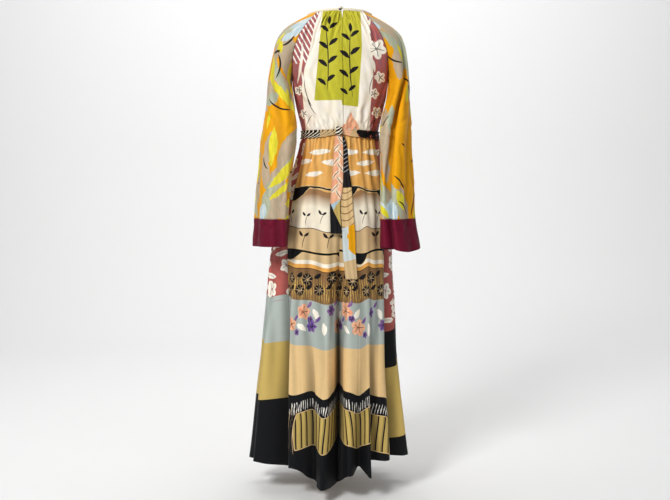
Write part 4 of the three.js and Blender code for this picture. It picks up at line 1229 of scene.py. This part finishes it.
# Rows for leaves() by colour, and for strokes() in ink. The first number counts from the sleeve's outer line.
SLEEVE_LEAVES = {
    -1: dict(
        taupe=[(58, -104, 22, 160, 66, 0.1), (108, -150, -24, 180, 60, 0), (26, -76, 34, 110, 44, 0),
               (24, -240, 62, 118, 50, 0.1), (110, -250, -30, 150, 46, 0), (166, -180, 6, 130, 34, 0),
               (104, -426, 34, 146, 76, 0.12), (146, -524, 62, 120, 62, 0), (58, -596, 20, 160, 78, 0),
               (120, -618, 74, 130, 44, 0), (20, -500, -8, 120, 40, 0), (72, -506, 56, 124, 46, 0.1),
               (34, -430, 14, 116, 44, 0)],
        sage=[(58, -66, 50, 96, 34, 0), (34, -276, 74, 100, 36, 0.1), (86, -214, -24, 140, 24, 0),
              (96, -486, 38, 160, 30, 0.1), (152, -548, 70, 78, 24, 0), (26, -606, 8, 110, 40, 0),
              (130, -396, 30, 70, 20, 0), (160, -612, 76, 60, 16, 0), (50, -548, 34, 116, 34, 0)],
        lime=[(50, -200, -8, 130, 30, 0.1), (136, -206, -4, 116, 30, 0), (84, -262, -34, 130, 26, 0.1),
              (120, -288, -18, 90, 20, 0), (44, -428, 4, 124, 28, 0.1), (84, -500, 42, 140, 30, 0.2),
              (142, -588, 78, 104, 26, 0.25), (44, -96, 40, 60, 22, 0), (70, -118, -34, 52, 24, 0),
              (120, -640, 80, 70, 14, 0), (24, -340, 8, 60, 14, 0), (78, -556, 50, 100, 18, 0.1)],
        blue=[(80, -36, 30, 62, 40, 0), (98, -64, -26, 60, 36, 0), (84, -88, 60, 46, 28, 0),
              (14, -624, 20, 60, 36, 0)],
        ink=[(88, -176, -8, 84, -60, 2.3), (62, -306, -66, 100, 90, 2.3), (172, -424, 4, 100, -64, 2.1),
             (150, -502, 84, 90, -190, 2.0), (16, -478, -30, 44, 40, 2.0), (98, -106, 40, 40, -24, 3.2),
             (58, -132, 80, 36, 60, 3.0), (180, -246, 30, 30, 40, 2.0)]),
    1: dict(
        taupe=[(60, -62, 20, 140, 70, 0.1), (134, -60, -16, 116, 60, 0), (92, -168, -10, 110, 44, 0.1),
               (20, -196, 4, 180, 46, 0), (124, -384, 24, 184, 66, 0.1), (156, -486, -12, 156, 62, 0),
               (92, -600, 28, 160, 74, 0.1), (168, -594, -18, 136, 60, 0), (24, -610, 14, 136, 60, 0),
               (100, -480, 6, 120, 34, 0)],
        sage=[(94, -108, 30, 96, 36, 0), (50, -128, -8, 130, 44, 0.1), (112, -344, 16, 96, 28, 0),
              (176, -430, 0, 90, 40, 0.1), (120, -570, 12, 130, 40, 0), (56, -588, 22, 120, 40, 0),
              (170, -150, 12, 76, 24, 0), (166, -560, 0, 130, 30, 0), (40, -180, 8, 120, 16, 0)],
        lime=[(168, -396, -34, 92, 30, 0.1), (180, -500, 82, 74, 30, 0), (36, -588, 30, 70, 32, 0),
              (78, -142, 12, 70, 18, 0), (30, -250, 6, 90, 16, 0.1), (128, -540, 20, 60, 16, 0),
              (110, -620, 40, 60, 18, 0)],
        blue=[(76, -622, 8, 80, 54, 0), (104, -40, 0, 54, 40, 0), (150, -626, 30, 60, 36, 0),
              (120, -604, 60, 50, 22, 0)],
        ink=[(118, -158, 58, 74, -60, 2.4), (30, -230, 46, 74, 80, 2.4), (164, -446, 74, 64, -32, 2.2),
             (26, -546, 36, 100, 120, 2.4), (20, -606, 48, 64, 90, 2.2), (136, -352, -38, 44, 50, 2.1),
             (28, -420, 60, 20, 40, 2.0)]),
}
FRONT_ON, FRONT_DOWN = 12, 46  # how much further round and down the front's motifs lie
CUFF_LEAVES_Z = -590  # leaves below this are the back's alone


def sleeve_print(hand, p):
    """Large slanting leaves in four colours and a few bold stems; a is the cloth's measure from the outer
    line towards the back. The front has most of them again, a little further round and lower."""
    a, z = measure(p)[0] * -hand, p[..., 2]
    motifs = SLEEVE_LEAVES[hand]
    values = {}
    for key in ("taupe", "sage", "lime", "blue"):
        front = [(-x - FRONT_ON, y - FRONT_DOWN, -turn, long, wide, bend)
                 for x, y, turn, long, wide, bend in motifs[key] if y > CUFF_LEAVES_Z]
        values[key] = leaves(a, z, motifs[key] + front)
    lines = Lines(a.shape)
    lines.strokes(a, z, motifs["ink"] + [(-x - FRONT_ON, y - FRONT_DOWN, -turn, long, -bend, wide)
                                         for x, y, turn, long, bend, wide in motifs["ink"]])
    return dict(values, **lines.named("ink"))


FLUTE_ROUND = 80  # millimetres of print from valley to valley
# Motifs in half-drop rows: first and last row, steps across and down, how far off its place each may be.
CLOUDS, SMALL, TWIGS = (-438, -540, 104, 34, 0.1), (-634, -668, 62, 34, 0.14), (-700, -735, 94, 40, 0.16)
ROUNDS, BEDS = (-826, -880, 70, 36, 0.12), (-926, -1010, 92, 46, 0.14)
# Rows of scallops: upper edge with the height, length and start of its wave; depth, place, length and least
# share of a scallop.
SCALLOPS = [(-552, 7, 240, 0, 40, 40, 236, 0.06), (-742, 6, 200, 2, 34, 150, 180, 0.1)]


def band_wave(phase):
    """How far the skirt's level bands rise and fall round it."""
    around = phase * FLUTE_ROUND
    return 6 * np.sin(TAU * around / 212 + 0.6) + 3 * np.sin(TAU * around / 84 + 2)


def scallops(around, z):
    """How far inside a scallop each point lies: below a wavy upper edge and above the arches hanging from
    it, of depth sin^0.7."""
    rows = []
    for upper, rise, long, start, deep, place, width, least in SCALLOPS:
        edge = upper + rise * np.sin(TAU * around / long + start)
        arch = deep * np.clip(np.sin(TAU * (around + place) / width), least, 1) ** 0.7
        rows.append(np.minimum(edge - z, z - edge + arch))
    return np.maximum(*rows)


def side_print(p, phase, seed, foot):
    """White flowers with veins and leaves on the rose upper part of a side panel."""
    s, z = measure(p)[0], p[..., 2]
    level = z + band_wave(phase)
    places = half_drop(np.abs(s).max() + 20, -420, foot + 6, 86, 74, 0.16, seed)
    flowers = [(x, y, 25 + 5 * r, 5, 3 * r) for x, y, r in places]
    white = np.maximum(blossoms(s, z, flowers),
                       leaves(s, z, [(x + 38, y - 30, 40 * r + 60, 60, 17, 0.2) for x, y, r in places]))
    lines = Lines(s.shape)
    lines.rays(s, z, flowers, 0.7, 0.8)
    lines.strokes(s, z, [(x + 36, y - 32, 40 * r + 60, 46, 90, 0.8) for x, y, r in places])
    return dict(level=level, cream=np.minimum(white, level - foot), **lines.named("ink"))


def skirt_print(p, phase, seed, slope):
    """Level bands with wavy edges, each with its own small motifs in half-drop rows: cream leaves on tan,
    dark scallops, dark sprigs on cream, dark round flowers on brown, violet and coral flowers on grey-blue.
    The hem band slopes. On the panel where it slopes down to the left, the gold in it is bounded by a bent
    edge with a few long pale curves beside it."""
    s, z = measure(p)[0], p[..., 2]
    wave = band_wave(phase)
    hem_level = z + 2.6 * wave + slope * s
    wide = np.abs(s).max() + 20
    clouds, small, twigs, rounds, beds = (half_drop(wide, *row, seed + i)
                                          for i, row in enumerate((CLOUDS, SMALL, TWIGS, ROUNDS, BEDS)))
    discs = [(x, y, 19 + 3 * r, 15, 2 * r) for x, y, r in rounds]
    coral = [(x, y, 27 + 5 * r, 5, r) for x, y, r in beds[::2]]
    coral_at_sides = [(hand * (wide - 30), y, 24, 5, hand + y) for hand in (-1, 1) for y in (-432, -486)]
    violet = [(x, y, 19 + 4 * r, 6, r) for x, y, r in beds[1::2]]
    violet += [(x + 24, y - 22, 11, 5, r) for x, y, r in beds[::2]]
    cream_leaves = [(x, y, 86 + 6 * r, 84 + 20 * r, 17 + 3 * r, 0.08) for x, y, r in clouds]
    cream_leaves += [(x + 40, y - 8, 70 * r, 42, 17, 0.2) for x, y, r in beds]
    dark_leaves = [(x + 33, y + 12, 58, 30, 13, 0.2) for x, y, r in rounds]
    dark_leaves += sprigs(small, 19, 7.5) + sprigs(twigs, 24, 9)
    violet_leaves = [(x + 20, y + 22, 40, 28, 10, 0.2) for x, y, r in beds]
    lines, pale = Lines(s.shape), Lines(s.shape)
    lines.strokes(s, z, [(x, y - 12, 20 * r, 34, 60, 1.0) for x, y, r in small]
                  + [(x, y - 14, 30 * r, 44, 70, 1.2) for x, y, r in twigs])
    lines.rays(s, z, coral + violet, 0.7, 0.8)
    pale.rays(s, z, [(x, y, size, 8, turn) for x, y, size, petals, turn in discs], 0.8, 0.5)
    gold = np.minimum(hem_level - GOLD_FOOT, GOLD_TOP - hem_level)
    if slope < 0:
        gold = np.minimum(gold, s + 64 - 0.25 * (z + 1290) + 10 * np.sin(z / 30))
        pale.strokes(s, z, [(-74 - 19 * k, -1286 + 5 * k, 190, 150 - 12 * k, -240, 0.9) for k in range(5)])
    return dict(level=z + wave, hem_level=hem_level, gold=gold, scallop=scallops(phase * FLUTE_ROUND, z),
                cream=leaves(s, z, cream_leaves), warm=blossoms(s, z, coral + coral_at_sides),
                dark=np.maximum(leaves(s, z, dark_leaves), blossoms(s, z, discs)),
                violet=np.maximum(blossoms(s, z, violet), leaves(s, z, violet_leaves)),
                stripe=s + 0.16 * (z + 1240) + 12 * np.sin((z + 20) / 58),
                **lines.named("ink"), **pale.named("pale"))


def tail_print(p):
    """Slanting leaves in turn from both edges, each with a dark vein."""
    s, t = measure(p)
    rows = [((-1) ** k * 7, 16 + 21 * k, (-1) ** k * 38, 42, 15, 0.15) for k in range(9)]
    lines = Lines(s.shape)
    lines.strokes(s, t, [(x, y, turn, 34, 80, 0.9) for x, y, turn, long, wide, bend in rows])
    return dict(cream=leaves(s, t, rows), **lines.named("ink"))


SKIRT_BANDS = [(-556, rgb(150, 112, 74), 1), (-590, CREAM, 40), (-676, BEIGE, DRAWN), (-772, CREAM, 1),
               (-784, TAN, 1), (-797, BROWN, DRAWN), (-893, GREY_BLUE, 1), (-1030, SAND, 1)]
SIDE_BANDS = {"side_left": [(-886, GREY_BLUE, 1), (-1030, OLIVE_GOLD, 1), (-1206, BLACK, 1)],
              "side_right": [(-990, BLACK, 1), (-1104, OLIVE_GOLD, 1), (-1322, BLACK, 1)]}
FLOWERS_FOOT = {name: bands[0][0] for name, bands in SIDE_BANDS.items()}
SKIRT_LAYERS = [("cream", CREAM, WHITE, 6), ("warm", CORAL, PEACH, 8), ("violet", VIOLET, PLUM, 8),
                ("dark", BLACK, INK, 2)]


# ---------------------------------------------------------------- pieces

reverse = plain("reverse", rgb(196, 176, 142), rough=0.75, sheen=0.15)
sleeve_reverse = plain("sleeve_reverse", rgb(206, 160, 70), rough=0.75, sheen=0.15)
cuff_crepe = plain("cuff_crepe", BURGUNDY, stitched=11)
bodice_crepe = printed("bodice_crepe", (CREAM, WHITE), [
    ("rose", ROSE, MAUVE, 0), ("panel", CHARTREUSE, CHARTREUSE_DEEP, 0), ("white", WHITE, CREAM, 4),
    ("warm", PEACH, CORAL, 5), ("dark", BLACK, INK, 2)], extra=bodice_stripes, lines=[("ink", INK, 1.1)],
    stitched=3)
sleeve_crepe = printed("sleeve_crepe", (ORANGE, AMBER), [
    ("taupe", TAUPE, rgb(172, 156, 130), 14), ("sage", SAGE, rgb(160, 164, 140), 14),
    ("blue", SKY, PALE_BLUE, 12), ("lime", LIME, LEMON, 12)], lines=[("ink", INK, 1.3)], stitched=2)
skirt_crepe = printed("skirt_crepe", (TAN, rgb(224, 176, 104)), SKIRT_LAYERS, SKIRT_BANDS, hem_pattern,
                      [("ink", INK, 0.9), ("pale", BEIGE, 0.9)], stitched=9)
side_crepes = {name: printed(name + "_crepe", (ROSE, rgb(160, 82, 76)), SKIRT_LAYERS[:1], bands, None,
                             [("ink", MAUVE, 0.9)], stitched=9) for name, bands in SIDE_BANDS.items()}
sash_crepe = printed("sash_crepe", (BLACK, INK), extra=sash_pattern)
knot_crepe = printed("knot_crepe", (BLACK, INK), extra=knot_pattern)
tail_crepes = {"left": printed("left_tail_crepe", (CORAL, PEACH), [("cream", CREAM, PEACH, 6)],
                               extra=left_tail_pattern, stitched=2),
               "right": printed("right_tail_crepe", (BLACK, INK), extra=right_tail_pattern, stitched=2)}
binding_crepe = plain("binding_crepe", CREAM)

for side, word, flat, area in ((-1, "left", (0.2, 0.4), 0.064), (1, "right", (0.19, 0.4), 0.058)):
    p = press_seams(bodice_creases(back_half(side), side), left=0.9, right=0.9, bottom=0.6)
    cloth("back_bodice_" + word, p, "bodice_back_" + word, bodice_crepe, "gathered",
          values=bodice_print(p, back=True), inside=reverse)
p = press_seams(front_creases(front_piece()), left=0.9, right=0.9, bottom=0.6)
cloth("front_bodice", p, "bodice_front", bodice_crepe, "gathered",
      values=bodice_print(p, back=False), inside=reverse)
for hand, word, cuff_flat in ((-1, "left", (0.365, 0.085)), (1, "right", (0.42, 0.09))):
    p, joined = sleeve_tube(hand)
    p = sleeve_creases(p, hand)
    cloth("sleeve_cloth_" + word, p, "sleeve_" + word, sleeve_crepe, "hung",
          closed=joined, values=sleeve_print(hand, p), inside=sleeve_reverse)
    p = creases(cuff_tube(hand), gathers((-190, 190), -20, 130, 81 + hand, (7, 12), (1.4, 2.8), 33))
    cloth("cuff_band_" + word, p, "cuff_" + word, cuff_crepe, "hung", closed=True)
# Skirt panels: first and last valley, flat size, flat area, slope of the hem band.
for name, first, last, flat, area, slope in (
        ("back_right", 0, 3, (0.43, 1.08), 0.24, 0.22), ("side_right", 3, 5, (0.28, 1.03), 0.171, 0),
        ("front", 5, 10, (0.69, 1.05), 0.476, 0.1), ("side_left", 10, 12, (0.34, 1.05), 0.216, 0),
        ("back_left", 12, 14, (0.34, 1.09), 0.235, -0.2)):
    p, phase = skirt_panel(first, last)
    if name in FLOWERS_FOOT:
        slot_name, crepe = "skirt_side", side_crepes[name]
        values = side_print(p, phase, first + 3, FLOWERS_FOOT[name])
    else:
        slot_name, crepe = "skirt", skirt_crepe
        values = skirt_print(p, phase, first + 3, slope)
    p = press_seams(skirt_creases(p, 71 + first), left=0.9, right=0.9, top=0.6, to_axis=True)
    # painted shade deep between the skirt's folds
    values["sunk"] = sunk(p)
    cloth("skirt_panel_" + name, p, "skirt_" + name, crepe, "gathered", values=values,
          inside=reverse)
p = belt_ring()
cloth("sash_belt", p, "belt", sash_crepe, "gathered", closed=True,
      values=dict(x=p[..., 0]))
cloth("sash_knot", knot_lump(), "belt_knot", knot_crepe, closed=True, wall=0, capped=True)
for word, flat, area in (("left", (0.036, 0.303), 0.0096), ("right", (0.041, 0.441), 0.0138)):
    p = tail_strip(TAILS[word])
    cloth("sash_tail_" + word, p, "belt_tail_" + word, tail_crepes[word], "hung",
          values=tail_print(p))
cloth("neck_edge", binding_band(), "neck_binding", binding_crepe, closed=True, wall=0, capped=True)
cloth("neck_button", button_dome(), "button", knot_crepe, closed=True, wall=0, capped=True)
cloth("neck_loop", loop_cord(), "button_loop", binding_crepe, closed=True, wall=0, capped=True)

# ---------------------------------------------------------------- floor, sky, lights and view

FLOOR_Z, FLOOR_REACH, WALL_Y, WALL_TOP, BEND = -1.5, 7.0, 2.4, 4.0, 1.2
SKY_STRENGTH = 0.27
LIGHTS = [  # place, aim, size, power
    ("key", (-1.8, -3.2, 1.8), (0, 0, -0.6), 1.1, 132),
    ("fill", (2.8, -2.8, 0.6), (0, 0, -0.7), 2.0, 13),
    ("wall", (0, 0.9, 2.4), (0, 3.6, 0), 3.0, 80),
]


def put_floor():
    """A pale floor that bends up into a wall."""
    arc = [(WALL_Y + BEND * math.sin(a), FLOOR_Z + BEND * (1 - math.cos(a)))
           for a in np.linspace(0, math.pi / 2, 24)]
    profile = [(-FLOOR_REACH, FLOOR_Z)] + arc + [(WALL_Y + BEND, WALL_TOP)]
    points = [(x, y, z) for y, z in profile for x in (-FLOOR_REACH, FLOOR_REACH)]
    faces = [(2 * i, 2 * i + 1, 2 * i + 3, 2 * i + 2) for i in range(len(profile) - 1)]
    mesh = bpy.data.meshes.new("floor")
    mesh.from_pydata(points, [], faces)
    mesh.polygons.foreach_set("use_smooth", np.full(len(faces), True))
    net = Net("floor_white")
    net.add("ShaderNodeOutputMaterial", [net.add("ShaderNodeBsdfPrincipled", {
        "Base Color": (0.9, 0.9, 0.9, 1), "Roughness": 0.9})])
    mesh.materials.append(net.material)
    placed("floor", mesh)


put_floor()
world = bpy.data.worlds.new("studio")
bpy.context.scene.world = world
world.use_nodes = True
sky = world.node_tree.nodes["Background"]
sky.inputs["Color"].default_value = (1, 1, 1, 1)
sky.inputs["Strength"].default_value = SKY_STRENGTH
for light in LIGHTS:
    put_light(*light)
bpy.context.scene.view_settings.view_transform = "Standard"
